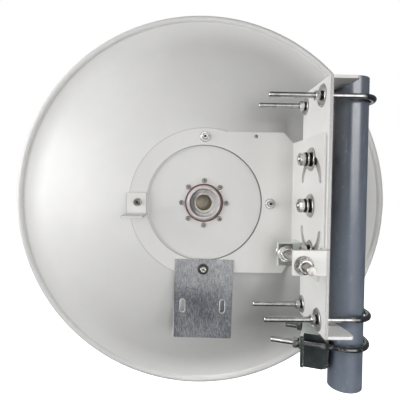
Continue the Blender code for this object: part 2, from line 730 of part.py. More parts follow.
def make_support_clamp():
    """Black channel with two V saddles, pulled onto the mast by the lowest U-bolt."""
    turn = -radians(SUPPORT_TURN)
    base_out = -SUPPORT_BASE
    base_in = base_out + 0.0040
    front = -SUPPORT_FRONT
    bm = bmesh.new()
    half = 0.0425
    low = SUPPORT_LOW_Z
    top = SUPPORT_TOP_Z
    base = [(-half, low + 0.011), (-half + 0.013, low), (half - 0.013, low), (half, low + 0.011),
            (half, top - 0.003), (half - 0.003, top), (-half + 0.003, top), (-half, top - 0.003)]
    add_prism(bm, base, base_out, base_in, "X")
    bmesh.ops.rotate(bm, verts=bm.verts, cent=(0, 0, 0), matrix=Matrix.Rotation(turn, 3, "Z"))
    obj = finish_mesh("support_clamp", bm, BLACK, 0.1, 0.4)
    add = bmesh.new()
    wall = [(base_in - 0.001, low), (front - 0.005, low), (front, low + 0.0115),
            (front, top - 0.0070), (front - 0.012, top), (base_in - 0.001, top)]
    for y in (-0.0260, 0.0230):
        add_prism(add, wall, y, y + 0.0030, "Y")
    bmesh.ops.rotate(add, verts=add.verts, cent=(0, 0, 0), matrix=Matrix.Rotation(turn, 3, "Z"))
    cut(obj, add, "UNION")
    add = bmesh.new()
    vee = radians(SADDLE_HALF_ANGLE)
    apex = -(MAST_R + GAP) / sin(vee)
    half_v = 0.0120
    tip = apex + half_v * cos(vee) / sin(vee)
    saddle = [(base_in - 0.001, -0.0235), (tip - 0.006, -0.0235), (tip, -half_v), (apex, 0.0),
              (tip, half_v), (tip - 0.006, 0.0235), (base_in - 0.001, 0.0235)]
    for z in (low, top - 0.0040):
        add_prism(add, saddle, z, z + 0.0040, "Z")
    bmesh.ops.rotate(add, verts=add.verts, cent=(0, 0, 0), matrix=Matrix.Rotation(turn, 3, "Z"))
    cut(obj, add, "UNION")
    holes = bmesh.new()
    for y in (-LEG_Y, LEG_Y):
        add_prism(holes, circle(y, SUPPORT_Z, 0.0045, 20), base_out - 0.01, base_in + 0.01, "X")
    bmesh.ops.rotate(holes, verts=holes.verts, cent=(0, 0, 0), matrix=Matrix.Rotation(turn, 3, "Z"))
    cut(obj, holes)


def make_mast():
    """Painted tube, closed by a welded disc at the foot and open at the top."""
    inner = MAST_R - MAST_WALL
    bm = bmesh.new()
    wall = [(0.0, 0.0), (MAST_R - 0.0008, 0.0), (MAST_R, 0.0008), (MAST_R, MAST_TOP_Z - 0.0006),
            (MAST_R - 0.0006, MAST_TOP_Z), (inner, MAST_TOP_Z), (inner, 0.006), (0.0, 0.006)]
    add_lathe(bm, wall, 64, (0.0, 0.0, 0.0), "Z")
    finish_mesh("mast", bm, MAST_GREY, 0.1, 0.4)


clear_scene()
make_reflector()
make_mounting_plate()
make_feed()
make_ring_screws()
make_slotted_plate()
make_side_bracket()
make_pole_bracket()
make_u_bolts()
make_u_nuts()
make_elevation_bolts()
make_adjuster()
make_lug()
make_support_clamp()
make_mast()
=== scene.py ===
import math
import bmesh
import bpy
import numpy as np
from mathutils import Matrix, Vector


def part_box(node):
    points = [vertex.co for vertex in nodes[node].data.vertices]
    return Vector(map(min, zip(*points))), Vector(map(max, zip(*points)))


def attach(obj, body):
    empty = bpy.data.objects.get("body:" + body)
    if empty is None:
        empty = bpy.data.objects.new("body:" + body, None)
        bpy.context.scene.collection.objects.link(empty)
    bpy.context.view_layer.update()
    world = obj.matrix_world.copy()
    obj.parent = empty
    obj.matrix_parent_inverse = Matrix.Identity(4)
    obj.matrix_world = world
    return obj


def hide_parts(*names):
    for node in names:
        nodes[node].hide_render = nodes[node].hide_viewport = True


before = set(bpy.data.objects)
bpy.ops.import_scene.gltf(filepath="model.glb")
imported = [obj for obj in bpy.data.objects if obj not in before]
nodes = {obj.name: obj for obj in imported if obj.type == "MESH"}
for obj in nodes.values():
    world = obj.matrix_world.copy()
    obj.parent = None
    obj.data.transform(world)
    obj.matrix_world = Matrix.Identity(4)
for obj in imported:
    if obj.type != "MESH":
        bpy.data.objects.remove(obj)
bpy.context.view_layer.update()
print("frame loaded:", len(nodes), "nodes")

fullTurn = 2 * math.pi

# Places that several pieces share, in metres
place = {
    "dishX": -0.208,
    "dishZ": 0.264,
    "plateBack": 0.08,
    "hubBack": 0.0833,
    "ringScrewR": 0.1105,
    "portScrewR": 0.0372,
    "pivotY": -0.006,
    "pivotZ": 0.266,
    "boltRise": 0.067,
    "flangeFace": -0.0583,
    "webRight": -0.051,
    "rodX": -0.085,
    "rodZ": 0.191,
    "legY": 0.035,
    "gap": 0.0003,
    "supportTurn": math.radians(-21.0),
}
dishX, dishZ = place["dishX"], place["dishZ"]
hubCentre = (dishX, place["hubBack"], dishZ)


# Meshes from grids
def gridFaces(rows, cols, closed, start):
    # Face (i, j) joins points (i, j), (i, j+1), (i+1, j+1), (i+1, j). The columns loop, and closed rows too
    i = np.arange(rows if closed else rows - 1)[:, None]
    j = np.arange(cols)[None, :]
    nextI, nextJ = (i + 1) % rows, (j + 1) % cols
    quads = np.stack([i * cols + j, i * cols + nextJ, nextI * cols + nextJ, nextI * cols + j], axis=-1)
    return quads.reshape(-1, 4) + start


def cleanMesh(mesh, merge=2e-7):
    # Doubled points merged, which closes seams and poles, and faces turned outwards
    bm = bmesh.new()
    bm.from_mesh(mesh)
    bmesh.ops.remove_doubles(bm, verts=bm.verts, dist=merge)
    bmesh.ops.dissolve_degenerate(bm, dist=merge, edges=bm.edges)
    bmesh.ops.recalc_face_normals(bm, faces=bm.faces)
    bm.to_mesh(mesh)
    bm.free()


def linked(name, data):
    # An object of this data in the scene
    made = bpy.data.objects.new(name, data)
    bpy.context.scene.collection.objects.link(made)
    return made


def addPiece(name, grids, finish, body, stands=(), sharp=32.0):
    # One object from grids, each (points, closed), then a pick where finish is a list
    points, faces, picks = [], [], []
    start = 0
    for grid, closed, *pick in grids:
        rows, cols = grid.shape[:2]
        points.append(grid.reshape(-1, 3))
        faces.append(gridFaces(rows, cols, closed, start))
        picks.append(np.full(len(faces[-1]), pick[0] if pick else 0, dtype=np.int32))
        start += rows * cols
    mesh = bpy.data.meshes.new(name)
    mesh.from_pydata(np.concatenate(points).tolist(), [], np.concatenate(faces).tolist())
    mesh.polygons.foreach_set("material_index", np.concatenate(picks))
    cleanMesh(mesh)
    placePiece(name, mesh, finish, body, stands, sharp)


def placePiece(name, mesh, finish, body, stands, sharp):
    # Smooth, with edges sharp past an angle in degrees, on its body, and the CAD nodes it stands for hidden
    mesh.shade_smooth()
    mesh.set_sharp_from_angle(angle=math.radians(sharp))
    for one in finish if isinstance(finish, list) else [finish]:
        mesh.materials.append(one)
    piece = linked(name, mesh)
    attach(piece, body)
    if stands:
        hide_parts(*stands)
    return piece


def easedCopy(name, node, finish, slot, body, width, worn=None, reach=None):
    # A CAD node's copy, its flat faces joined and its edges rounded. A reach, (turn about the mast, past
    # this distance, on this side, by), draws the edge there outwards
    bm = bmesh.new()
    bm.from_mesh(nodes[node].data)
    bmesh.ops.remove_doubles(bm, verts=bm.verts, dist=easing["merge"])
    if reach:
        turn, past, side, by = reach
        along = Vector((math.cos(turn), math.sin(turn), 0.0))
        across = Vector((-math.sin(turn), math.cos(turn), 0.0))
        edge = [v for v in bm.verts if v.co.dot(along) > past and v.co.dot(across) < side]
        bmesh.ops.translate(bm, verts=edge, vec=along * by)
    bmesh.ops.dissolve_limit(bm, angle_limit=math.radians(easing["flat"]), verts=bm.verts, edges=bm.edges)
    bmesh.ops.recalc_face_normals(bm, faces=bm.faces)
    mesh = bpy.data.meshes.new(name)
    bm.to_mesh(mesh)
    bm.free()
    piece = placePiece(name, mesh, [finish, worn] if worn else finish, body, [node], easing["sharp"])
    bevel = piece.modifiers.new("easedEdges", "BEVEL")
    bevel.width = width
    bevel.segments = easing["steps"]
    bevel.limit_method = "ANGLE"
    bevel.angle_limit = math.radians(easing["from"])
    bevel.harden_normals = True
    if worn:
        bevel.material = 1


# Turned and swept shapes
def polarRadius(shape, size, angle):
    # hex: half the flats' width over the cosine of the angle from a flat. cross: the nearer of an arm's
    # end and its side, from (reach, half width). round: the size
    if shape == "hex":
        return size / 2 / np.cos(np.mod(angle, math.pi / 3) - math.pi / 6)
    if shape == "cross":
        off = np.abs(np.mod(angle + math.pi / 4, math.pi / 2) - math.pi / 4)
        return np.minimum(size[0] / np.cos(off), size[1] / np.maximum(np.sin(off), 1e-6))
    return np.full_like(angle, size)


def alongAxis(axis, along, u, v, centre):
    # Points at a distance along an axis and at (u, v) across it, from a centre
    order = {"X": (along, u, v), "Y": (u, along, v), "Z": (u, v, along)}[axis]
    return np.stack(order, axis=-1) + np.array(centre)


def turned(rows, centre, axis="X", count=72, turn=0.0, flip=1.0):
    # Point (row, angle) = centre + flip * distance along the axis + the row's polar radius across it. A
    # row is (distance, shape, size) and may end with a round limit that trims a hexagon's corners
    angle = np.linspace(0, fullTurn, count, endpoint=False)
    radius = []
    for row in rows:
        r = polarRadius(row[1], row[2], angle - turn)
        radius.append(np.minimum(r, row[3]) if len(row) > 3 else r)
    radius = np.array(radius)
    along = flip * np.array([row[0] for row in rows])[:, None] + np.zeros_like(radius)
    return alongAxis(axis, along, radius * np.cos(angle), radius * np.sin(angle), centre)


def rounds(*pairs):
    # Rows of a round shape, from (distance, radius)
    return [(h, "round", r) for h, r in pairs]


def lathed(profile, centre, count, axis="Y"):
    # A profile of (radius, distance) turned about an axis
    return turned(rounds(*[(h, r) for r, h in profile]), centre, axis, count)


def arc(cx, cy, r, first, last, steps):
    # Points on a circle from one angle in degrees to another
    a = np.radians(np.linspace(first, last, steps))
    return list(zip(cx + r * np.cos(a), cy + r * np.sin(a)))


def hexBlock(low, high, flats, trimHigh=True):
    # A hexagonal block, its corners trimmed by a 30 degree cone at the low end and, if asked, the high one
    flat = flats * 0.475
    reach = flats / math.sqrt(3) - flat
    rise = reach * math.tan(math.radians(30))
    cone = [(rise * t, flat + reach * t) for t in np.linspace(0, 1, 6)[1:]]
    rows = rounds((low, flat)) + [(low + up, "hex", flats, r) for up, r in cone]
    if trimHigh:
        return rows + [(high - up, "hex", flats, r) for up, r in cone[::-1]] + rounds((high, flat))
    return rows + [(high, "hex", flats)]


def nutRows(low, high, flats, bore):
    # The hexagonal block closed by a bore with a small countersink at each end
    wide, deep = bore * 1.1, bore * 0.12
    return hexBlock(low, high, flats) + rounds((high, wide), (high - deep, bore), (low + deep, bore),
                                               (low, wide))


def washerRows(low, high, outer, inner):
    # A rectangle turned about the axis, its outer corners cut off
    ease = min(0.0003, (high - low) * 0.3)
    return rounds((low, inner), (low, outer - ease), (low + ease, outer), (high - ease, outer),
                  (high, outer - ease), (high, inner))


def springWasher(low, high, outer, inner, centre, turn):
    # A rectangle carried once round the X axis, climbing from its start to its end, with a slit between
    # the two; each end is closed by drawing the section to its middle
    t = np.concatenate([[0.0], np.linspace(0, 1, 49), [1.0]])[:, None]
    slit, climb, half = 0.06, (high - low) * 0.16, (high - low) * 0.4
    angle = turn + slit + t * (fullTurn - 2 * slit)
    size = np.ones_like(t)
    size[[0, -1]] = 0.0
    radius = (outer + inner) / 2 + (outer - inner) / 2 * size * np.array([-1, 1, 1, -1])
    along = (low + high) / 2 + climb * (t - 0.5) + half * size * np.array([-1, -1, 1, 1])
    return alongAxis("X", along, radius * np.cos(angle), radius * np.sin(angle), centre)


def rodAlong(path, radius, pitch, groove, spans, sides=20, bevelled=0.0008, step=0.002):
    # A circle carried along a level path, both ends bevelled. Inside the threaded spans its radius loses
    # a V groove, a triangle wave of length / pitch less angle / full turn
    path = np.array(path, float)
    length = np.concatenate([[0.0], np.cumsum(np.linalg.norm(np.diff(path, axis=0), axis=1))])
    total = length[-1]
    marks = [np.arange(0, total, step), [total, bevelled, total - bevelled]]
    for first, last in spans:
        marks.append(np.arange(max(first, 0), min(last, total), pitch / 6))
    s = np.unique(np.round(np.concatenate(marks), 7))

    def pathAt(travel):
        return np.stack([np.interp(travel, length, path[:, k]) for k in range(3)], axis=-1)

    at = pathAt(s)
    along = pathAt(s + 0.0008) - pathAt(s - 0.0008)
    along /= np.linalg.norm(along, axis=1)[:, None]
    across = np.cross((0.0, 0.0, 1.0), along)
    across /= np.linalg.norm(across, axis=1)[:, None]
    up = np.cross(along, across)
    angle = np.linspace(0, fullTurn, sides, endpoint=False)
    wave = np.abs(2 * np.mod(s[:, None] / pitch - angle[None, :] / fullTurn, 1.0) - 1)
    inside = np.zeros_like(s)
    for first, last in spans:
        inside = np.maximum(inside, np.clip(np.minimum(s - first, last - s) / (1.2 * pitch), 0, 1))
    cutIn = groove * pitch * inside[:, None] * wave
    r = np.minimum(radius - cutIn, (radius - bevelled + np.minimum(s, total - s))[:, None])
    rings = at[:, None, :] + r[:, :, None] * (np.cos(angle)[None, :, None] * across[:, None, :]
                                              + np.sin(angle)[None, :, None] * up[:, None, :])
    return np.concatenate([rings[:1] * 0 + at[0], rings, rings[:1] * 0 + at[-1]])


def turnAboutMast(grid, angle):
    # Each point turned about the mast's centre line
    c, s = math.cos(angle), math.sin(angle)
    x, y, z = grid[..., 0], grid[..., 1], grid[..., 2]
    return np.stack([x * c - y * s, x * s + y * c, z], axis=-1)


# Materials
def maths(operation, reflected=False):
    # A method that makes one Math node of a wire and another wire or number
    def method(self, other):
        return self.run(operation, *((other, self) if reflected else (self, other)))
    return method


class Wire:
    # A socket; + - * / on it make Math nodes
    def __init__(self, tree, socket):
        self.tree = tree
        self.socket = socket

    def run(self, operation, *terms):
        # A Math node on these wires or numbers
        made = self.tree.nodes.new("ShaderNodeMath")
        made.operation = operation
        for slot, term in zip(made.inputs, terms or (self,)):
            if isinstance(term, Wire):
                self.tree.links.new(term.socket, slot)
            else:
                slot.default_value = term
        return Wire(self.tree, made.outputs[0])

    __add__ = __radd__ = maths("ADD")
    __mul__ = __rmul__ = maths("MULTIPLY")
    __sub__, __rsub__ = maths("SUBTRACT"), maths("SUBTRACT", True)
    __truediv__, __rtruediv__ = maths("DIVIDE"), maths("DIVIDE", True)
    most, least = maths("MAXIMUM"), maths("MINIMUM")

    def away(self, start=0.0):
        # Distance from a start along the axis
        return (self - start).run("ABSOLUTE")

    def clip(self, low=0.0, high=1.0):
        return self.most(low).least(high)

    def over(self, edge, width):
        # 0 below the edge, 1 above edge + width
        return ((self - edge) / width).clip()

    def between(self, low, high, width):
        # 1 from low to high, falling to 0 over the width inside each
        return self.over(low, width) * (1 - self.over(high - width, width))


class Nodes:
    # The nodes of one material or of the world
    def __init__(self, tree):
        self.tree = tree

    def node(self, kind, settings=(), **sockets):
        # A node of this type with its settings and its sockets' values or links
        made = self.tree.nodes.new(kind)
        for key, value in dict(settings).items():
            setattr(made, key, value)
        for key, value in sockets.items():
            self.plug(made.inputs[key.replace("_", " ")], value)
        return made

    def plug(self, slot, value):
        if isinstance(value, Wire):
            value = value.socket
        if isinstance(value, bpy.types.NodeSocket):
            self.tree.links.new(value, slot)
        elif slot.type == "RGBA":
            slot.default_value = (*value[:3], 1)
        else:
            slot.default_value = value

    def mix(self, mask, first, second):
        made = self.node("ShaderNodeMix", {"data_type": "RGBA"})
        for slot, value in ((0, mask), (6, first), (7, second)):
            self.plug(made.inputs[slot], value)
        return Wire(self.tree, made.outputs[2])


class Finish(Nodes):
    # One material: a Principled shader on Object coordinates
    def __init__(self, name, colour, metallic, roughness, **fixed):
        self.material = bpy.data.materials.new(name)
        self.material.use_nodes = True
        super().__init__(self.material.node_tree)
        self.shader = self.tree.nodes["Principled BSDF"]
        fixed.update(Base_Color=colour, Metallic=metallic, Roughness=roughness)
        for socket, value in fixed.items():
            self.feed(socket.replace("_", " "), value)
        self.coords = self.node("ShaderNodeTexCoord").outputs["Object"]

    def feed(self, socket, value):
        self.plug(self.shader.inputs[socket], value)

    def noise(self, scale, detail=3.0, rough=0.55, upright=1.0, shift=(0, 0, 0)):
        at = self.node("ShaderNodeMapping", Vector=self.coords, Scale=(1, 1, upright), Location=shift)
        made = self.node("ShaderNodeTexNoise", Vector=at.outputs[0], Scale=scale, Detail=detail,
                         Roughness=rough)
        return Wire(self.tree, made.outputs["Fac"])

    def xyz(self):
        # The point's three coordinates, in metres
        made = self.node("ShaderNodeSeparateXYZ", Vector=self.coords)
        return [Wire(self.tree, out) for out in made.outputs]

    def done(self, colour, roughness, height, distance, strength):
        # The material, once its colour, its roughness and its bump are plugged in
        made = self.node("ShaderNodeBump", Height=height, Distance=distance, Strength=strength)
        self.feed("Normal", made.outputs[0])
        self.feed("Base Color", colour)
        self.feed("Roughness", roughness)
        return self.material

    def laid(self, look, marks):
        # The look under a piece's own marks
        for share, colour in marks(self) if marks else ():
            look = self.mix(share, look, colour)
        return look


paintLook = {
    "bowl": (0.76, 0.757, 0.745),
    "bowlShade": (0.7, 0.695, 0.68),
    # channel is a lighter copy of the white paint, painted light on the pole bracket
    "channel": (0.86, 0.855, 0.84),
    "white": (0.8, 0.797, 0.78),
    "whiteShade": (0.75, 0.742, 0.72),
    "ring": (0.765, 0.76, 0.748),
    # edge and edgeShade: a painted dark outline on the white plates' rounded edges, a painted shade
    "edge": (0.2, 0.197, 0.19),
    "edgeShade": (0.15, 0.147, 0.14),
    "speck": (0.42, 0.4, 0.37),
    "mast": (0.122, 0.144, 0.182),
    "mastLight": (0.184, 0.21, 0.254),
    # the next is the painted shade on the mast beside the bracket
    "mastShade": (0.022, 0.027, 0.036),
    "black": (0.016, 0.022, 0.022),
    "seal": (0.19, 0.05, 0.042),
}


def powderCoat(name, base, shade, roughness, marks=None):
    # Orange peel, faint clouds, a few dull specks and rubbed patches, under a piece's own marks, each
    # (share, colour)
    colour = paintLook[base]
    f = Finish(name, colour, 0.0, roughness, IOR=1.48)
    clouds = f.noise(9.0, 4.0)
    drift = f.noise(38.0, 3.0, shift=(3, 1, 2))
    speck = f.noise(420.0, 1.0, shift=(7, 0, 4)).over(0.765, 0.03)
    rubbed = f.noise(55.0, 5.0, 0.65, shift=(1, 8, 3)).over(0.6, 0.12) * f.noise(7.0, 1.0).over(0.5, 0.1)
    tone = ((clouds - 0.5) * 1.4 + (drift - 0.5) * 0.5 + 0.45).clip()
    look = f.mix(speck * 0.4, f.mix(tone, colour, paintLook[shade]), paintLook["speck"])
    dull = (roughness + (drift - 0.5) * 0.12 + rubbed * 0.1).clip(0.05, 1.0)
    peel = f.noise(620.0, 2.0) * 0.6 + f.noise(150.0, 2.0) * 0.4
    return f.done(f.laid(look, marks), dull, peel, 0.00012, 0.35)


def lengthOf(a, b):
    # Root of the sum of the squares
    return (a * a + b * b).run("SQRT")


def fromAxis(x, z):
    # Distance from the dish's axis
    return lengthOf(x - dishX, z - dishZ)


def fromRingScrew(x, z):
    # Distance from the nearest ring screw; the four stand on the ring's two axes
    across, up = x.away(dishX), z.away(dishZ)
    return lengthOf(across.most(up) - place["ringScrewR"], across.least(up))


# Colours and places of painted shade lines, the tab's face and the jaws' mouths
shadeMarks = {
    "line": (0.1, 0.1, 0.095),
    "washerShade": (0.15, 0.145, 0.14),
    "hubEdge": 0.095,
    "rightFrom": -0.075,
    "rightWidth": 0.13,
    "sideLine": 0.001,
    "tabFace": -0.0658,
    "jawSlant": math.radians(68.0),
    "jawMouth": -0.02445,
}


def rightShadeShare(x):
    # How heavy the painted shade on a ring's edge is, from 0.15 on its left to 0.9 on its right
    return (x - dishX - shadeMarks["rightFrom"]).over(0.0, shadeMarks["rightWidth"]) * 0.75 + 0.15


def bowlMarks(f):
    # A painted shade line on the hub just inside the ring plate, heavier on its right, a fainter one round
    # the plate, a painted shadow band inside the plate's hole, heavier on its left, and a soiled ring round
    # the port
    x, y, z = f.xyz()
    r, share = fromAxis(x, z), rightShadeShare(x)
    # Painted shade: the lines along the plate's edges and the shadow band inside its hole
    line = r.between(shadeMarks["hubEdge"], shadeMarks["hubEdge"] + 0.0016, 0.0005) * share
    step = r.between(0.0922, 0.0934, 0.0005) * (1.2 - share / 0.75) * 0.3
    outline = r.between(0.1238, 0.1262, 0.0008) * 0.55
    soiled = (1 - r.over(0.031, 0.012)) * (f.noise(160.0, 3.0) * 0.6 + 0.1)
    behind = 1 - y.over(0.085, 0.0005)
    return ((line * behind, shadeMarks["line"]), (step * behind, (0.3, 0.3, 0.29)),
            (outline * behind, (0.3, 0.285, 0.285)), (soiled * 0.5, (0.36, 0.34, 0.32)))


def ringMarks(f):
    # Painted shade: a dark line on the inner edge, most of all on the right, and round the screws' and
    # elevation bolts' washers
    x, y, z = f.xyz()
    near = y.over(place["plateBack"] - 0.001, 0.0004)
    edge = fromAxis(x, z).between(shadeMarks["hubEdge"] + 0.0005, shadeMarks["hubEdge"] + 0.0019, 0.0003) * near
    # Painted shade round the washers
    screws = (1 - fromRingScrew(x, z).over(0.0083, 0.001)) * near
    up = z.away(place["pivotZ"])
    bolts = 1 - lengthOf(y - place["pivotY"], up.least(up.away(place["boltRise"]))).over(0.0169, 0.0009)
    bolts = bolts * (1 - x.over(-0.0579, 0.0002)) * x.over(-0.06, 0.0002)
    return ((edge * rightShadeShare(x), shadeMarks["line"]), (screws * 0.7, shadeMarks["washerShade"]),
            (bolts * 0.75, (0.15, 0.14, 0.13)))


def sideMarks(f):
    # Painted shade round the side screw's washer, and a painted shade line inside the left, right and top
    # edges
    x, _, z = f.xyz()
    low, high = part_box("side_bracket")
    width = shadeMarks["sideLine"]
    line = (1 - x.over(low[0] + width, 0.0003) + x.over(high[0] - width, 0.0003)
            + z.over(high[2] - width, 0.0003)).clip()
    return (((1 - fromRingScrew(x, z).over(0.0067, 0.001)) * 0.7, shadeMarks["washerShade"]),
            (line * 0.45, (0.26, 0.25, 0.245)))


def channelMarks(f):
    # The web is painted grey where the flange covers it, darkest near the bolts, a painted shade that shows
    # through the slots. Painted shade lines run along the flange's edge and round the washers and the tab's
    # nut, and the web is bare on its near edge. The tab's top edge is dull. The jaws' cut edges are dark,
    # by distance in plan from the two lines of a jaw's mouth, and the top jaw's underside has a patch of
    # painted shade
    x, y, z = f.xyz()
    web = 1 - x.over(-0.0548, 0.0003)
    close = 1 - z.away(place["pivotZ"]).away(place["boltRise"]).over(0.01, 0.018)
    # Painted shade under the flange, seen through the slots
    rubbed = web * y.over(-0.0465, 0.002) * z.between(0.172, 0.361, 0.002) * (close * 0.75 + 0.1)
    # Painted shade line along the flange's edge
    seam = web * y.between(-0.059, -0.0556, 0.0006) * z.between(0.212, 0.362, 0.002)
    # Painted shade round the U-bolts' washers
    washers = lengthOf(y.away() - place["legY"], z.away(0.264) - 0.154)
    washers = web * (1 - (washers + y.over(0.0, 0.001) * 0.002).over(0.0155, 0.0009))
    edge = (1 - y.over(-0.0644, 0.0003)) * (1 - x.over(-0.0512, 0.0003)) * x.over(-0.0556, 0.0003)
    bare = edge * (f.noise(260.0, 3.0) * 0.5 + 0.45)
    tab = (1 - y.over(-0.0612, 0.0003)) * z.between(0.2102, 0.213, 0.0002)
    # Painted shade round the tab's nut
    nut = 1 - lengthOf(x - place["rodX"], z - place["rodZ"]).over(0.0121, 0.001)
    nut = nut * (1 - y.over(shadeMarks["tabFace"] + 0.0006, 0.0003))
    sine, cosine = math.sin(shadeMarks["jawSlant"]), math.cos(shadeMarks["jawSlant"])
    mouth = ((x - shadeMarks["jawMouth"] / sine) * sine - y.away() * cosine).away()
    under = z.between(0.433, 0.4343, 0.0002)
    ragged = under * f.noise(300.0, 2.0) * 0.005
    jaw = (1 - mouth.over(ragged + 0.0008, 0.0008)) * x.over(-0.03, 0.002)
    # The top jaw's underside gets a patch of painted shade
    jaw = jaw.most(under * x.over(-0.034, 0.008) * y.between(-0.042, -0.006, 0.008) * 0.62)
    return ((rubbed, (0.24, 0.235, 0.23)), (seam * 0.45, (0.25, 0.24, 0.23)),
            (washers * 0.75, (0.13, 0.12, 0.12)), (bare, (0.4, 0.4, 0.39)),
            (tab * 0.6, (0.22, 0.21, 0.2)), (nut * 0.8, shadeMarks["line"]), (jaw * 0.9, (0.045, 0.045, 0.045)))


def mastPaint():
    # Blue grey enamel with soft streaks, pale scuffs, painted shade beside the bracket, painted light on
    # its left side low down, and pin-head chips. The hard, grainy gloss of the upper part is lost lower
    # down
    f = Finish("mastPaint", paintLook["mast"], 0.0, 0.4, IOR=1.5, Coat_IOR=2.7, Coat_Roughness=0.17)
    x, _, z = f.xyz()
    streak = f.noise(60.0, 4.0, upright=0.12)
    patch = f.noise(24.0, 4.0, 0.6)
    grain = f.noise(620.0, 3.0, 0.6, upright=0.4)
    chips = f.noise(330.0, 1.0, upright=0.6).over(0.765, 0.02)
    scuffs = f.noise(130.0, 3.0, upright=0.25, shift=(5, 2, 0)).over(0.6, 0.09)
    # Painted light: lighter on the left side, low down
    leftLight = z.between(0.07, 0.25, 0.04) * (1 - x.over(-0.012, 0.012))
    tone = ((streak - 0.5) * 1.2 + (patch - 0.5) * 1.3 + 0.3 + leftLight * 0.45).clip()
    colour = f.mix(tone, paintLook["mast"], paintLook["mastLight"])
    colour = f.mix(scuffs * 0.32, colour, (0.28, 0.32, 0.4))
    # Painted shade on the left side, beside the bracket
    shade = (1 - x.over(-0.0236, 0.009)) * z.over(0.19, 0.12)
    colour = f.mix(shade * 0.8, colour, paintLook["mastShade"])
    f.feed("Coat Weight", ((z.over(0.225, 0.17) * 0.92 + 0.05) * ((grain - 0.5) * 1.6 + 0.85)).clip())
    dull = (0.4 + (patch - 0.5) * 0.25 + scuffs * 0.2).clip(0.12, 0.7)
    relief = patch * 0.5 + streak * 0.3 + grain * 0.3 - chips * 0.5
    return f.done(f.mix(chips * 0.6, colour, (0.42, 0.44, 0.46)), dull, relief, 0.00045, 0.6)


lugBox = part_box("adjuster_lug")
lugLook = {
    "light": (0.4, 0.42, 0.38),
    "dark": (0.12, 0.135, 0.12),
    # bright is the painted highlights' colour
    "bright": (0.84, 0.88, 0.83),
    "highlightFrom": -0.0745,
    "top": lugBox[1][2] - 0.0014,
    "left": lugBox[0][0] + 0.0012,
    "metallic": 0.85,
    "roughness": 0.38,
}


def dullZinc():
    # Mottled zinc, paler towards the lug's top, with painted highlights on its right side and along its top
    # and left edges, where it is less metallic too
    s = lugLook
    f = Finish("dullZinc", s["light"], s["metallic"], s["roughness"])
    fine = f.noise(520.0, 4.0, 0.7)
    broad = f.noise(46.0, 4.0, 0.6)
    cells = f.node("ShaderNodeTexVoronoi", Vector=f.coords, Scale=230.0)
    grain = Wire(f.tree, cells.outputs["Color"])
    x, _, z = f.xyz()
    tone = ((fine - 0.5) * 1.9 + (broad - 0.5) * 1.8 + (grain - 0.5) * 0.5 + 0.35
            + z.over(s["top"] - 0.018, 0.018) * 0.35).clip()
    # Painted highlights on the right side and the top and left edges
    bright = (x.over(s["highlightFrom"], 0.002) + z.over(s["top"], 0.0003)
              + (1 - x.over(s["left"], 0.0003))).clip()
    f.feed("Metallic", s["metallic"] - bright * 0.55)
    colour = f.mix(bright * 0.85, f.mix(tone, s["dark"], s["light"]), s["bright"])
    dull = (s["roughness"] + (fine - 0.5) * 0.3).clip(0.12, 0.9)
    return f.done(colour, dull, fine * 0.7 + grain * 0.3, 0.00012, 0.5)


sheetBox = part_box("slotted_plate")
sheetLook = {
    "light": (0.4, 0.405, 0.415),
    "dark": (0.085, 0.09, 0.105),
    # edge is the painted highlights' colour, and the next is the painted shade round the screw
    "edge": (0.85, 0.85, 0.85),
    "washerShade": (0.035, 0.035, 0.04),
    "roughness": 0.42,
    "top": sheetBox[1][2] - 0.001,
    "left": sheetBox[0][0] + 0.0012,
    "middle": 0.09,
    "slots": ((-0.24175, 0.09262), (-0.17527, 0.09123)),
    "slotHalf": (0.0039, 0.0069),
}


def brushedSheet():
    # Upright brush marks over a fine grain, darker across the middle, with painted highlights on the top
    # and left edges and round the slots, and painted shade round the screw. Distance from a slot is that
    # from its middle line less half its width
    s = sheetLook
    f = Finish("brushedZinc", s["light"], 0.9, s["roughness"])
    x, _, z = f.xyz()
    fine = f.noise(720.0, 4.0, 0.7, upright=0.17)
    grain = f.noise(640.0, 4.0, 0.75, shift=(4, 1, 2))
    broad = f.noise(230.0, 3.0, 0.6, upright=0.3, shift=(2, 0, 5))
    cloud = f.noise(30.0, 3.0, upright=0.7)
    middle = 1 - z.away(s["middle"]).over(0.014, 0.03)
    tone = ((fine - 0.5) * 1.9 + (grain - 0.5) * 1.7 + (broad - 0.5) * 0.7 + (cloud - 0.5) * 0.7
            + z.over(0.105, 0.06) * 0.16 + z.over(0.042, 0.03) * 0.12 + 0.31
            - middle * (0.36 - x.away(dishX) * 4.0)).clip()
    colour = f.mix(tone, s["dark"], s["light"])
    # Painted highlights round the slots' rims
    rim = 0.0
    for cx, cz in s["slots"]:
        out = lengthOf(x - cx, (z.away(cz) - s["slotHalf"][1]).clip()) - s["slotHalf"][0]
        rim = out.between(-0.001, 0.0011, 0.0003) + rim
    # Painted shade round the screw's washer
    screw = 1 - fromRingScrew(x, z).over(0.0088, 0.001)
    pale = (z.over(s["top"], 0.0003) + (1 - x.over(s["left"], 0.0003)) + rim).clip()
    colour = f.mix(screw * 0.8, f.mix(pale * 0.75, colour, s["edge"]), s["washerShade"])
    dull = (s["roughness"] + (fine - 0.5) * 0.25 + (grain - 0.5) * 0.2).clip(0.15, 0.9)
    return f.done(colour, dull, fine * 0.6 + grain * 0.4, 0.0001, 0.5)


def plated(name, colour, dull, roughness):
    # Bright metal with dull tarnish patches and hair-fine tool marks
    f = Finish(name, colour, 1.0, roughness)
    patch = f.noise(160.0, 4.0, 0.6).over(0.45, 0.25)
    marks = f.noise(900.0, 3.0)
    rough = (roughness + patch * 0.18 + (marks - 0.5) * 0.12).clip(0.08, 0.9)
    return f.done(f.mix(patch, colour, dull), rough, marks, 0.00006, 0.5)


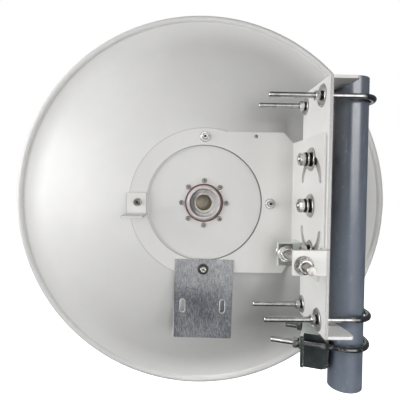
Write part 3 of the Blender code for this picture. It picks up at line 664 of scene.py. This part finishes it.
def boltSteel():
    # Bright zinc on the legs, and ragged black paint on the bend, which starts further left on the lower
    # bolts. The lowest one's far leg is darkened as well, a painted shade
    f = Finish("boltSteel", (0.66, 0.66, 0.65), 1.0, 0.2, Coat_IOR=2.3, Coat_Roughness=0.12)
    patch = f.noise(120.0, 4.0, 0.6).over(0.42, 0.3)
    marks = f.noise(800.0, 3.0)
    bright = f.mix(patch, (0.68, 0.68, 0.67), (0.44, 0.44, 0.43))
    x, y, z = f.xyz()
    start = -0.046 + z.over(0.08, 0.02) * 0.036 + z.over(0.25, 0.05) * 0.008
    sleeve = (x + (f.noise(90.0, 3.0) - 0.5) * 0.01 - start).over(0.0, 0.008)
    worn = f.noise(70.0, 4.0, 0.6, shift=(4, 4, 1)).over(0.58, 0.08) * (1 - z.over(0.08, 0.02))
    # Painted shade on the lowest bolt's far leg
    farLegShade = y.over(0.03, 0.004) * (1 - z.over(0.08, 0.004))
    sleeve = (sleeve * (1 - worn * 0.5)).most(farLegShade * 0.85)
    f.feed("Metallic", 1 - sleeve)
    f.feed("Coat Weight", sleeve)
    dull = (0.17 + patch * 0.12 + (marks - 0.5) * 0.08 + sleeve * 0.05).clip(0.08, 0.8)
    return f.done(f.mix(sleeve, bright, (0.012, 0.013, 0.014)), dull, marks, 0.00004, 0.4)


def blackPaint(name, wornShare):
    # Black with a green cast, dusty, and worn to grey metal by a share. The flat top is painted pale, a
    # painted highlight where it catches the light, and the bracket's corner has rubbed a triangle of the
    # near wall
    f = Finish(name, paintLook["black"], 0.0, 0.38, IOR=1.5)
    x, _, z = f.xyz()
    dust = f.noise(60.0, 5.0, 0.65)
    colour = f.mix((dust - 0.42).clip() * 0.9, paintLook["black"], (0.1, 0.125, 0.12))
    worn = f.noise(210.0, 4.0, 0.65).over(1.0 - wornShare, 0.1)
    colour = f.mix(worn, colour, (0.45, 0.46, 0.45))
    rubbed = (x + (0.0745 - z) * -0.9).over(-0.0395, 0.0012) * z.over(0.0655, 0.0008)
    colour = f.mix(rubbed * 0.8, colour, (0.17, 0.175, 0.165))
    # Painted highlight on the flat top
    top = z.over(0.079, 0.0003)
    colour = f.mix(top * (0.92 + (dust - 0.5) * 0.3), colour, (0.9, 0.95, 0.91))
    dull = (0.3 + dust * 0.25 + worn * 0.1 - top * 0.12).clip()
    return f.done(colour, dull, dust * 0.5 - worn * 0.4, 0.0002, 0.5)


def plainPolymer(name, colour, shade, roughness, glow=0.0, marks=None):
    # Slight clouding and a satin grain. The glow is painted light, an emission that stands in for light let
    # through a clear part
    f = Finish(name, colour, 0.0, roughness, Emission_Strength=glow)
    cloud = f.noise(120.0, 4.0)
    grain = f.noise(900.0, 2.0)
    look = f.laid(f.mix(cloud.over(0.35, 0.35), colour, shade), marks)
    # Painted light: the look glows as an emission
    f.feed("Emission Color", look)
    return f.done(look, (roughness + (grain - 0.5) * 0.15).clip(), grain, 0.00008, 0.4)


def portMarks(f):
    # Painted shade on the funnel's left side and on the lip's right side
    x, _, z = f.xyz()
    r, x = fromAxis(x, z), x - dishX
    left = (1 - x.over(-0.017, 0.012)) * (1 - r.over(0.0238, 0.0008))
    right = x.over(0.01, 0.012) * r.over(0.0268, 0.0008)
    return ((left * 0.85, shadeMarks["line"]), (right * 0.8, (0.1, 0.065, 0.075)))


def coneMarks(f):
    # The dome's upper side is painted darker and browner, a painted shade
    return ((f.xyz()[2].over(dishZ - 0.004, 0.012) * 0.8, (0.2, 0.165, 0.115)),)


bowlFinish = powderCoat("bowlPaint", "bowl", "bowlShade", 0.42, bowlMarks)
ringFinish = powderCoat("ringPaint", "ring", "whiteShade", 0.4, ringMarks)
sideFinish = powderCoat("sidePaint", "white", "whiteShade", 0.4, sideMarks)
channelFinish = powderCoat("channelPaint", "channel", "whiteShade", 0.4, channelMarks)
# Painted shade: a dark outline on the white plates' rounded edges
edgeShadeFinish = powderCoat("paintedEdgeShade", "edge", "edgeShade", 0.45)
mastFinish = mastPaint()
sheetFinish = brushedSheet()
lugFinish = dullZinc()
nutFinish = plated("nutZinc", (0.74, 0.735, 0.72), (0.4, 0.395, 0.38), 0.2)
headFinish = plated("boltZinc", (0.66, 0.63, 0.605), (0.34, 0.31, 0.29), 0.19)
rodFinish = plated("rodSteel", (0.6, 0.58, 0.55), (0.36, 0.34, 0.32), 0.3)
darkWasherFinish = plated("darkWasher", (0.05, 0.048, 0.046), (0.025, 0.025, 0.025), 0.34)
dullWasherFinish = plated("dullWasher", (0.38, 0.37, 0.36), (0.15, 0.145, 0.14), 0.26)
screwFinish = plated("screwSteel", (0.52, 0.515, 0.5), (0.17, 0.165, 0.16), 0.18)
# Painted shade: near-black steel in the screws' recesses and on one ring screw's washer
shadeSteelFinish = plated("paintedShadeSteel", (0.06, 0.058, 0.055), (0.03, 0.03, 0.028), 0.4)
portScrewFinish = plated("darkScrewSteel", (0.26, 0.25, 0.24), (0.06, 0.06, 0.055), 0.24)
boltFinish = boltSteel()
blackFinish = blackPaint("blackPaint", 0.3)
wornBlackFinish = blackPaint("wornBlackPaint", 0.6)
sealFinish = plainPolymer("sealRubber", paintLook["seal"], (0.1, 0.025, 0.025), 0.5)
lipFinish = plainPolymer("portLip", (0.74, 0.72, 0.71), (0.54, 0.51, 0.5), 0.3, marks=portMarks)
coneFinish = plainPolymer("feedPlastic", (0.6, 0.55, 0.46), (0.48, 0.43, 0.35), 0.36, 0.28, coneMarks)
tubeFinish = plated("feedMetal", (0.62, 0.6, 0.55), (0.46, 0.44, 0.39), 0.32)
print("materials made:", len(bpy.data.materials))

# Dish
dishShape = {
    "hubHole": 0.0283,
    "hub": 0.122,
    "focal": 0.236,
    "creaseStart": 0.286,
    "creaseEnd": 0.332,
    "flangeSlope": 0.15,
    "flange": 0.337,
    "bead": 0.0065,
    "rim": 0.35,
    "beadDepth": 0.0919,
    "shell": 0.0022,
    "around": 288,
    "sharp": 40.0,
}


def makeDish():
    # The rear wall's slope is none on the hub, radius / (2 focal) on the bowl, and eases to the flange's
    # over the crease; depth is the running sum of slope times step. The inner wall is one thickness in
    # front, and a round bead joins them at the rim
    d = dishShape
    r = np.concatenate([np.linspace(d["hubHole"], d["hub"] - 0.006, 8),
                        np.linspace(d["hub"] - 0.004, d["hub"] + 0.006, 9),
                        np.linspace(d["hub"] + 0.01, d["flange"], 74)])
    enter = np.clip((r - d["hub"] + 0.002) / 0.005, 0, 1)
    leave = np.clip((r - d["creaseStart"]) / (d["creaseEnd"] - d["creaseStart"]), 0, 1)
    enter, leave = (share * share * (3 - 2 * share) for share in (enter, leave))
    slope = enter * r / (2 * d["focal"]) * (1 - leave) + d["flangeSlope"] * leave
    y = np.concatenate([[0.0], np.cumsum((slope[1:] + slope[:-1]) / 2 * np.diff(r))])
    length = np.sqrt(1 + slope * slope)
    front = list(zip(r - d["shell"] * slope / length, y + d["shell"] / length))
    front[0] = (d["hubHole"], d["shell"])
    bead = arc(d["rim"] - d["bead"], d["beadDepth"], d["bead"], -158, 108, 30)
    profile = list(zip(r, y)) + bead + front[::-1]
    grid = lathed(profile, hubCentre, d["around"])
    addPiece("dishShell", [(grid, True)], bowlFinish, "dish", ["reflector"], d["sharp"])


makeDish()
print("dish made")

# Plates and brackets
easing = {
    "merge": 1e-6,
    "flat": 0.6,
    "sharp": 35.0,
    "from": 40.0,
    "steps": 2,
}
# Name: CAD node, finish, slot, body, edge radius, and for some a finish for the edges and a reach. On the
# white plates that edge finish is a painted dark outline, a painted shade
plates = {
    "ringPlate": ("mounting_plate", ringFinish, "white_paint", "dish", 0.0006, edgeShadeFinish),
    "sideAngle": ("side_bracket", sideFinish, "white_paint", "dish", 0.0007, edgeShadeFinish),
    "slottedSheet": ("slotted_plate", sheetFinish, "zinc", "dish", 0.0003),
    "lugAngle": ("adjuster_lug", lugFinish, "zinc", "dish", 0.0004),
    "poleChannel": ("pole_bracket", channelFinish, "white_paint", "mount", 0.0006, edgeShadeFinish),
    "blackClamp": ("support_clamp", blackFinish, "black_paint", "mount", 0.0007, wornBlackFinish,
                   (place["supportTurn"], -0.0265, -0.0225, 0.0028)),
}
for name, facts in plates.items():
    easedCopy(name, *facts)
print("plates made")

# Mast
mastShape = {
    "radius": 0.02415,
    "wall": 0.0032,
    "top": 0.45,
    "floor": 0.006,
    "edge": 0.0006,
    "footEdge": 0.0008,
}


def makeMast():
    # Outer wall, rounded top rim, inner wall and the disc that closes the foot
    m = mastShape
    inner = m["radius"] - m["wall"]
    outer = [(0.0, 0.0), (m["radius"] - m["footEdge"], 0.0), (m["radius"], m["footEdge"])]
    outer += [(m["radius"], z) for z in np.linspace(0.02, m["top"] - 0.01, 12)]
    rim = arc(m["radius"] - m["edge"], m["top"] - m["edge"], m["edge"], 0, 90, 5)
    rim += arc(inner + m["edge"], m["top"] - m["edge"], m["edge"], 90, 180, 5)
    grid = lathed(outer + rim + [(inner, m["floor"]), (0.0, m["floor"])], (0, 0, 0), 128, "Z")
    addPiece("mastTube", [(grid, False)], mastFinish, "mount", ["mast"])


makeMast()
print("mast made")

# U-bolts and their nuts
uBoltShape = {
    "rod": 0.004,
    "pitch": 0.00125,
    "groove": 0.17,
    "reach": 0.02845,
}
# Name: CAD node, height, near leg's end, far leg's end, thread length, turn about the mast
uBolts = {
    "uBoltTop": ("u_bolt_top", 0.418, -0.128, -0.128, 0.07, 0.0),
    "uBoltLow": ("u_bolt_low", 0.11, -0.129, -0.132, 0.07, 0.0),
    "uBoltSupport": ("u_bolt_support", 0.0672, -0.104, -0.09, 0.038, place["supportTurn"]),
}


def makeUBolt(name, node, z, nearEnd, farEnd, thread, turn):
    # Near leg along +X, half an ellipse round the mast, far leg back along -X
    u = uBoltShape
    leg = place["legY"]
    a = np.linspace(-math.pi / 2, math.pi / 2, 49)
    bend = np.stack([u["reach"] * np.cos(a), leg * np.sin(a), np.full_like(a, z)], axis=-1)
    path = np.concatenate([[(nearEnd, -leg, z)], bend, [(farEnd, leg, z)]])
    total = np.linalg.norm(np.diff(path, axis=0), axis=1).sum()
    spans = [(-0.01, thread), (total - thread, total + 0.01)]
    grid = turnAboutMast(rodAlong(path, u["rod"], u["pitch"], u["groove"], spans), turn)
    addPiece(name, [(grid, False)], boltFinish, "mount", [node])


for name, facts in uBolts.items():
    makeUBolt(name, *facts)

nutShape = {
    "washerThick": 0.0016,
    "springThick": 0.0018,
    "springR": 0.0066,
    "high": 0.0066,
    "flats": 0.013,
    "bore": 0.00415,
}
# Number: height, leg's Y, seat's X, washer radius, turn of the nut in degrees, turn about the mast
uNuts = {
    1: (0.418, -0.035, -0.0553, 0.0148, 15, 0.0),
    2: (0.418, 0.035, -0.0553, 0.0128, 30, 0.0),
    3: (0.11, -0.035, -0.0553, 0.0148, 45, 0.0),
    4: (0.11, 0.035, -0.0553, 0.0128, 0, 0.0),
    5: (0.0672, -0.035, -0.0618, 0.0085, 15, place["supportTurn"]),
    6: (0.0672, 0.035, -0.0618, 0.0085, 30, place["supportTurn"]),
}


def makeUNut(number, z, y, seat, washer, tilt, turn):
    # From the bracket outwards: flat washer, spring washer, nut
    n = nutShape
    centre = (seat, y, z)
    bore, flat = n["bore"], -n["washerThick"]
    spring = flat - n["springThick"]
    block = nutRows(spring - n["high"], spring, n["flats"], bore)
    grids = [(turned(washerRows(flat, 0.0, washer, bore), centre), True),
             (springWasher(spring, flat, n["springR"], bore, centre, math.radians(70)), False, 1),
             (turned(block, centre, turn=math.radians(tilt)), True)]
    grids = [(turnAboutMast(grid, turn), *facts) for grid, *facts in grids]
    addPiece("uNut%d" % number, grids, [nutFinish, darkWasherFinish], "mount",
             ["u_nut_%d" % number])


for number, facts in uNuts.items():
    makeUNut(number, *facts)
print("U-bolts made")

# Elevation bolts
elevationShape = {
    "shank": 0.005,
    "bore": 0.0053,
    "springBore": 0.0052,
    "flats": 0.017,
    "nut": 0.008,
    "point": 0.0105,
    "pointEdge": 0.0009,
    "thread": 0.0048,
    "threadEnd": 0.0016,
    "threadEdge": 0.0008,
    "threadFoot": 0.0056,
}
tallStack = ((0.0024, 0.0165, "flat"), (0.0026, 0.0102, "spring"), (0.0024, 0.0108, "flat"),
             (0.0024, 0.0099, "dark"))
# Number: height over the pivot, height of the hexagon, then the washers from the flange outwards, each
# (thickness, radius, kind)
elevationBolts = {
    1: (place["boltRise"], 0.008, tallStack),
    2: (0.0, 0.008, tallStack),
    3: (-place["boltRise"], 0.0073, ((0.0024, 0.015, "flat"), (0.0028, 0.01, "spring"))),
}


def makeElevationBolt(number, dz, height, washers):
    # Washers, hexagon and thread end left of the flange, each where the last ends, a shank through both
    # plates, and a nut and the point right of the web
    e = elevationShape
    centre = (0.0, place["pivotY"], place["pivotZ"] + dz)
    turn = math.radians(15 * number)
    at = place["flangeFace"] - place["gap"]
    grids = []
    for thick, radius, kind in washers:
        if kind == "spring":
            grid = springWasher(at - thick + 0.0002, at - 0.0002, radius, e["springBore"], centre,
                                0.9 * number)
            grids.append((grid, False, 1))
        else:
            grid = turned(washerRows(at - thick, at, radius, e["bore"]), centre)
            grids.append((grid, True, 1 if kind == "dark" else 0))
        at -= thick
    top = at - height
    tall = len(washers) > 2
    rows = rounds((top, 0.0))
    if tall:
        end, thread = top - e["threadEnd"], e["thread"]
        rows = rounds((end, 0.0), (end, thread - e["threadEdge"]), (end + e["threadEdge"], thread),
                      (top + 0.0003, thread), (top, e["threadFoot"]))
    right = place["webRight"] + place["gap"]
    point = right + e["point"]
    rows += hexBlock(top, at, e["flats"], tall)
    rows += rounds((at, e["shank"]), (point - 0.001, e["shank"]), (point, e["shank"] - e["pointEdge"]),
                   (point, 0.0))
    nut = nutRows(right, right + e["nut"], e["flats"], e["springBore"])
    grids += [(turned(rows, centre, turn=turn), False), (turned(nut, centre, turn=turn), True)]
    addPiece("elevationBolt%d" % number, grids, [headFinish, darkWasherFinish], "mount",
             ["elevation_bolt_%d" % number])


for number, facts in elevationBolts.items():
    makeElevationBolt(number, *facts)

# Fine adjuster
adjusterShape = {
    "near": -0.0985,
    "far": 0.058,
    "rod": 0.006,
    "pitch": 0.00175,
    "groove": 0.12,
    "bevel": 0.0007,
    "step": 0.004,
    "flats": 0.018,
    "nut": 0.0095,
    "bore": 0.00615,
    "washerR": 0.012,
    "washerT": 0.002,
    "lugSheet": 0.004,
}


def makeAdjustingRod():
    # A straight rod with a thread from end to end
    a = adjusterShape
    path = [(place["rodX"], a[end], place["rodZ"]) for end in ("near", "far")]
    grid = rodAlong(path, a["rod"], a["pitch"], a["groove"], [(-0.01, 0.2)], 24, a["bevel"], a["step"])
    addPiece("adjustingScrew", [(grid, False)], rodFinish, "adjuster", ["adjusting_rod"])


def makeAdjusterNut(name, node, body, seat, flip, tilt, dull):
    # Flat washer on its seat, dull on the tab, then a nut; flip says which way along Y they stack
    a = adjusterShape
    centre = (place["rodX"], seat, place["rodZ"])
    washer = washerRows(0.0, a["washerT"], a["washerR"], a["bore"])
    block = nutRows(a["washerT"], a["washerT"] + a["nut"], a["flats"], a["bore"])
    grids = [(turned(washer, centre, "Y", flip=flip), True, dull),
             (turned(block, centre, "Y", turn=math.radians(tilt), flip=flip), True)]
    addPiece(name, grids, [nutFinish, dullWasherFinish], body, [node])


makeAdjustingRod()
makeAdjusterNut("tabNutNear", "tab_nut_near", "mount", shadeMarks["tabFace"], -1.0, 15, 1)
makeAdjusterNut("tabNutFar", "tab_nut_far", "mount", -0.0612, 1.0, 30, 1)
makeAdjusterNut("lugNutNear", "lug_nut_near", "adjuster", 0.0224, -1.0, 45, 0)
makeAdjusterNut("lugNutFar", "lug_nut_far", "adjuster", 0.0346, 1.0, 0, 0)


lugBoltShape = {
    "dome": ((-0.006, 0.0034), (-0.0055, 0.0047), (-0.0045, 0.0056), (-0.003, 0.0058), (0.0, 0.0058)),
    "hex": 0.004,
    "hexFloor": -0.003,
    "shank": 0.003,
    "end": 0.0068,
}


def makeLugBolt(number, y):
    # Button head with a hexagonal socket against the lug, and a plain shank through the flange
    s = lugBoltShape
    face = place["flangeFace"] - 2 * place["gap"] - adjusterShape["lugSheet"]
    top, low = s["dome"][0][0], s["hexFloor"]
    rows = [(low, "round", 0.0), (low, "hex", s["hex"]), (top, "hex", s["hex"])]
    rows += rounds(*s["dome"], (0.0, s["shank"]), (s["end"], s["shank"]), (s["end"], 0.0))
    addPiece("lugBolt%d" % number, [(turned(rows, (face, y, place["rodZ"])), False)], screwFinish,
             "dish", ["lug_bolt_%d" % number])


for number, y in ((1, 0.044), (2, 0.06)):
    makeLugBolt(number, y)
print("adjuster made")

# Ring screws
# Number: across, up, packing under the washer, washer radius, recess, the head's finish and the washer's
ringScrews = {
    1: (1, 0, 0.0, 0.008, "hex", 0, 0),
    2: (0, 1, 0.0, 0.008, "hex", 0, 0),
    3: (0, -1, 0.0023, 0.008, "cross", 0, 1),
    4: (-1, 0, 0.0039, 0.0064, "hex", 2, 0),
}
ringScrewShape = {
    "head": 0.0054,
    "headRise": 0.0042,
    "ease": 0.0016,
    "easeSteps": 7,
    "deep": 0.0024,
    "hex": 0.0044,
    "cross": (0.003, 0.0008),
    "washer": 0.0013,
    "bore": 0.0043,
    "shank": 0.004,
    "nutFlats": 0.0128,
    "nutHigh": 0.005,
    "pointEdge": 0.0007,
}


def screwHead(s, top, recess, size):
    # Rows of the recess, then of the head from the recess's mouth over a quarter round to its side
    hollow = rounds((top + s["deep"], 0.0)) + [(top + s["deep"], recess, size), (top, recess, size)]
    over = arc(s["head"] - s["ease"], 0.0, s["ease"], 90, 0, s["easeSteps"])
    return hollow, hollow[-1:] + rounds(*[(top + s["ease"] - h, r) for r, h in over])


def makeRingScrew(number, across, up, packing, washer, recess, headPick, washerPick):
    # Pan head with its recess and a washer behind the plate, shank through the hub, nut in the bowl
    s = ringScrewShape
    centre = (dishX + place["ringScrewR"] * across, 0.0, dishZ + place["ringScrewR"] * up)
    seat = place["plateBack"] - place["gap"] - packing
    under = seat - s["washer"]
    hollow, rows = screwHead(s, under - s["headRise"], recess, s[recess])
    front = place["hubBack"] + 0.0025
    end = front + 0.008
    rows += rounds((under, s["head"]), (under, s["shank"]), (end - 0.0008, s["shank"]),
                   (end, s["shank"] - s["pointEdge"]), (end, 0.0))
    turn = 0.35 * number
    nut = nutRows(front, front + s["nutHigh"], s["nutFlats"], s["bore"] - 0.0002)
    grids = [(turned(hollow, centre, "Y", turn=turn), False, 1),
             (turned(rows, centre, "Y", turn=turn), False, headPick),
             (turned(washerRows(under, seat, washer, s["bore"]), centre, "Y"), True, washerPick),
             (turned(nut, centre, "Y", turn=0.2 * number), True)]
    addPiece("ringScrew%d" % number, grids, [screwFinish, shadeSteelFinish, portScrewFinish],
             "dish", ["ring_screw_%d" % number])


for number, facts in ringScrews.items():
    makeRingScrew(number, *facts)

portScrewShape = {
    "count": 8,
    "head": 0.0042,
    "rise": 0.002,
    "ease": 0.001,
    "easeSteps": 5,
    "deep": 0.0012,
    "cross": (0.0024, 0.0006),
    "shank": 0.002,
    "end": 0.0212,
    "around": 48,
    "nuts": ((0.0025, 0.012, 0.3), (0.0173, 0.0205, 0.5)),
    "nutFlats": 0.007,
    "nutBore": 0.0022,
}


def makePortScrews():
    # Small screws round the port, each through the hub and a hexagonal spacer to the feed tube's flange,
    # with a nut on the far side
    s = portScrewShape
    grids = []
    for k in range(s["count"]):
        a = k * fullTurn / s["count"]
        centre = (dishX + place["portScrewR"] * math.cos(a), place["hubBack"],
                  dishZ + place["portScrewR"] * math.sin(a))
        hollow, rows = screwHead(s, -s["rise"], "cross", s["cross"])
        rows += rounds((-0.0002, s["head"]), (-0.0002, s["shank"]), (s["end"], s["shank"]), (s["end"], 0.0))
        grids.append((turned(hollow, centre, "Y", s["around"], 0.7 * k), False, 1))
        grids.append((turned(rows, centre, "Y", s["around"], 0.7 * k), False))
        for low, high, turn in s["nuts"]:
            block = nutRows(low, high, s["nutFlats"], s["nutBore"])
            grids.append((turned(block, centre, "Y", s["around"], turn * k), True))
    addPiece("portScrews", grids, [portScrewFinish, shadeSteelFinish], "dish")


makePortScrews()
print("screws made")

# Feed: port, seal, tube, cone and the small reflector
# Name: CAD node, finish, slot, count round the axis, whether the profile is a closed loop, and its
# (radius, distance in front of the hub's rear face)
feedPieces = {
    "portLip": ("feed_port", lipFinish, "feed_metal", 96, True, [
        (0.0296, -0.0003), (0.028, -0.0003), (0.028, 0.012), (0.015, 0.012), (0.015, 0.01),
        (0.0158, 0.0092), (0.0172, 0.009), (0.0178, 0.0084), (0.0188, 0.0056), (0.0196, 0.0052),
        (0.0208, 0.005), (0.0214, 0.0044), (0.0232, -0.003), (0.0238, -0.005), (0.0243, -0.0058),
        (0.025, -0.006), (0.0258, -0.006), (0.0265, -0.0056), (0.0272, -0.0046), (0.0288, -0.0024),
        (0.0294, -0.0014)]),
    "sealRing": ("port_seal", sealFinish, "seal_rubber", 96, True,
                 arc(0.0309, -0.00125, 0.00095, 0, 345, 24)),
    "feedTube": ("feed_tube", tubeFinish, "feed_metal", 80, True, [
        (0.0141, 0.0123), (0.0414, 0.0123), (0.042, 0.0129), (0.042, 0.0164), (0.0414, 0.017),
        (0.0185, 0.017), (0.017, 0.0178), (0.016, 0.0195), (0.016, 0.1046), (0.0156, 0.105),
        (0.0135, 0.105), (0.0135, 0.016), (0.0138, 0.0157), (0.0138, 0.0126)]),
    "feedCone": ("feed_cone", coneFinish, "feed_plastic", 80, False,
                 [(0.0, 0.085)] + arc(0.0, 0.097, 0.012, -80, -25, 10) + [
                     (0.0126, 0.1), (0.0132, 0.102), (0.0132, 0.1053), (0.0172, 0.1053),
                     (0.031, 0.1344), (0.031, 0.138), (0.0, 0.138)]),
    "smallReflector": ("subreflector", tubeFinish, "feed_metal", 96, False,
                       [(0.0, 0.1383), (0.039, 0.1383)] + arc(0.0385, 0.1403, 0.0015, -60, 60, 7) + [
                           (0.038, 0.1423), (0.012, 0.1423), (0.01, 0.1415), (0.0, 0.1415)]),
}
for name, (node, finish, slot, count, closed, profile) in feedPieces.items():
    addPiece(name, [(lathed(profile, hubCentre, count), closed)], finish, "dish", [node])
print("feed made")

# Floor, light and camera
studio = {
    "floorZ": -0.17,
    "floorHalf": 9.0,
    "floorGlow": 1.05,
    "backdrop": (1.0, 1.0, 1.0),
    "ambient": (0.035, 0.035, 0.036),
    "mirrorDark": (0.105, 0.11, 0.12),
    "mirrorLow": (0.06, 0.064, 0.072),
    "mirrorPanel": (1.9, 1.89, 1.87),
    "panelTurn": 13.5,
    "panelHalfWidth": 26.0,
    "panelLow": -26.0,
    "panelHigh": 34.0,
}
dishMiddle = (-0.2, 0.05, 0.26)
# Name: place, what it points at, width, height, watts, whether gloss mirrors it, spread in degrees
lamps = {
    "windowLeft": ((-2.2, -0.9, 0.4), dishMiddle, 1.0, 1.4, 20.5, True, 180),
    "windowHigh": ((-1.6, -0.8, 1.6), dishMiddle, 1.0, 1.4, 5.0, True, 180),
    "lowLeft": ((-2.2, -1.1, 0.02), (-0.35, 0.08, 0.1), 1.2, 0.3, 5.0, False, 180),
    "sideLeft": ((-2.4, 0.0, 0.6), dishMiddle, 1.0, 1.4, 21.0, True, 180),
    "nearSoft": ((0.05, -2.2, 0.3), dishMiddle, 0.8, 1.2, 18.0, False, 180),
    "nearRight": ((1.4, -1.8, 0.45), dishMiddle, 1.0, 1.2, 15.5, False, 180),
    "bowlSide": ((-0.5, 2.2, 0.9), dishMiddle, 1.4, 1.4, 30.0, False, 180),
    "jawFill": ((0.1, -0.8, 0.75), (-0.015, -0.04, 0.11), 0.3, 0.3, 0.11, False, 20),
}


def mirroredRoom(tree):
    # A dim room, dimmer below the horizon, with a soft upright panel right of the camera. Its share is a
    # ramp over the angle about the vertical times one over the height
    s = studio
    n = Nodes(tree)
    at = n.node("ShaderNodeTexCoord").outputs["Generated"]
    x, y, z = (Wire(tree, out) for out in n.node("ShaderNodeSeparateXYZ", Vector=at).outputs)
    turn = (x.run("ARCTAN2", x, 0 - y) * (180 / math.pi)).away(s["panelTurn"])
    height = z.run("ARCSINE") * (180 / math.pi)
    across = 1 - turn.over(s["panelHalfWidth"] - 6, 12.0)
    tall = height.between(s["panelLow"] - 8, s["panelHigh"] + 8, 16.0)
    room = n.mix(height.over(-12.0, 8.0), s["mirrorLow"], s["mirrorDark"])
    return n.mix(across * tall, room, s["mirrorPanel"])


def makeStudio():
    # A pale floor, the lamps, and a world that differs for lighting, for mirrors and for the camera
    half, z = studio["floorHalf"], studio["floorZ"]
    corners = [(x * half, y * half, z) for x, y in ((-1, -1), (1, -1), (1, 1), (-1, 1))]
    mesh = bpy.data.meshes.new("paleFloor")
    mesh.from_pydata(corners, [], [(0, 1, 2, 3)])
    floor = linked("paleFloor", mesh)
    f = Finish("paleFloorPaint", (0.8, 0.8, 0.8), 0.0, 0.9, Emission_Color=(1, 1, 1),
               Emission_Strength=studio["floorGlow"])
    mesh.materials.append(f.material)
    floor.visible_diffuse = floor.visible_glossy = False
    for name, (at, target, width, height, power, mirrored, spread) in lamps.items():
        lamp = bpy.data.lights.new(name, "AREA")
        lamp.shape = "RECTANGLE"
        lamp.size, lamp.size_y = width, height
        lamp.energy = power
        lamp.spread = math.radians(spread)
        holder = linked(name, lamp)
        aim = (Vector(at) - Vector(target)).to_track_quat("Z", "Y")
        holder.matrix_world = Matrix.Translation(at) @ aim.to_matrix().to_4x4()
        holder.visible_glossy = mirrored
    world = bpy.data.worlds.new("studioWorld")
    bpy.context.scene.world = world
    world.use_nodes = True
    tree = world.node_tree
    n = Nodes(tree)
    path = n.node("ShaderNodeLightPath")
    light = tree.nodes["Background"].outputs[0]
    n.plug(tree.nodes["Background"].inputs["Color"], studio["ambient"])
    # What gloss mirrors, then what the camera sees behind everything
    for colour, ray in ((mirroredRoom(tree), "Is Glossy Ray"), (studio["backdrop"], "Is Camera Ray")):
        other = n.node("ShaderNodeBackground", Color=colour)
        pick = n.node("ShaderNodeMixShader")
        for slot, value in zip(pick.inputs, (path.outputs[ray], light, other.outputs[0])):
            n.plug(slot, value)
        light = pick.outputs[0]
    n.plug(tree.nodes["World Output"].inputs[0], light)
    bpy.context.scene.view_settings.view_transform = "Standard"


camera = {
    "at": (-0.24094, -0.55451, 0.29207),
    "yaw": 0.0205,
    "pitch": -0.0225,
    "roll": 0.0152,
    "focalPixels": 381.414,
    "offsetPixels": (-7.7296, -5.5327),
    "frame": 400.0,
}


def makeCamera():
    # A camera that looks straight down is rolled, tilted up by 90 degrees and the pitch, and then turned
    c = camera
    data = bpy.data.cameras.new("photoCamera")
    data.sensor_width = 36.0
    data.lens = c["focalPixels"] / c["frame"] * data.sensor_width
    data.shift_x = -c["offsetPixels"][0] / c["frame"]
    data.shift_y = c["offsetPixels"][1] / c["frame"]
    data.clip_start = 0.01
    holder = linked("photoCamera", data)
    turns = [Matrix.Rotation(angle, 4, axis) for angle, axis in (
        (-c["yaw"], "Z"), (math.pi / 2 + c["pitch"], "X"), (c["roll"], "Z"))]
    holder.matrix_world = Matrix.Translation(c["at"]) @ turns[0] @ turns[1] @ turns[2]
    bpy.context.scene.camera = holder


makeStudio()
makeCamera()
print("studio made")
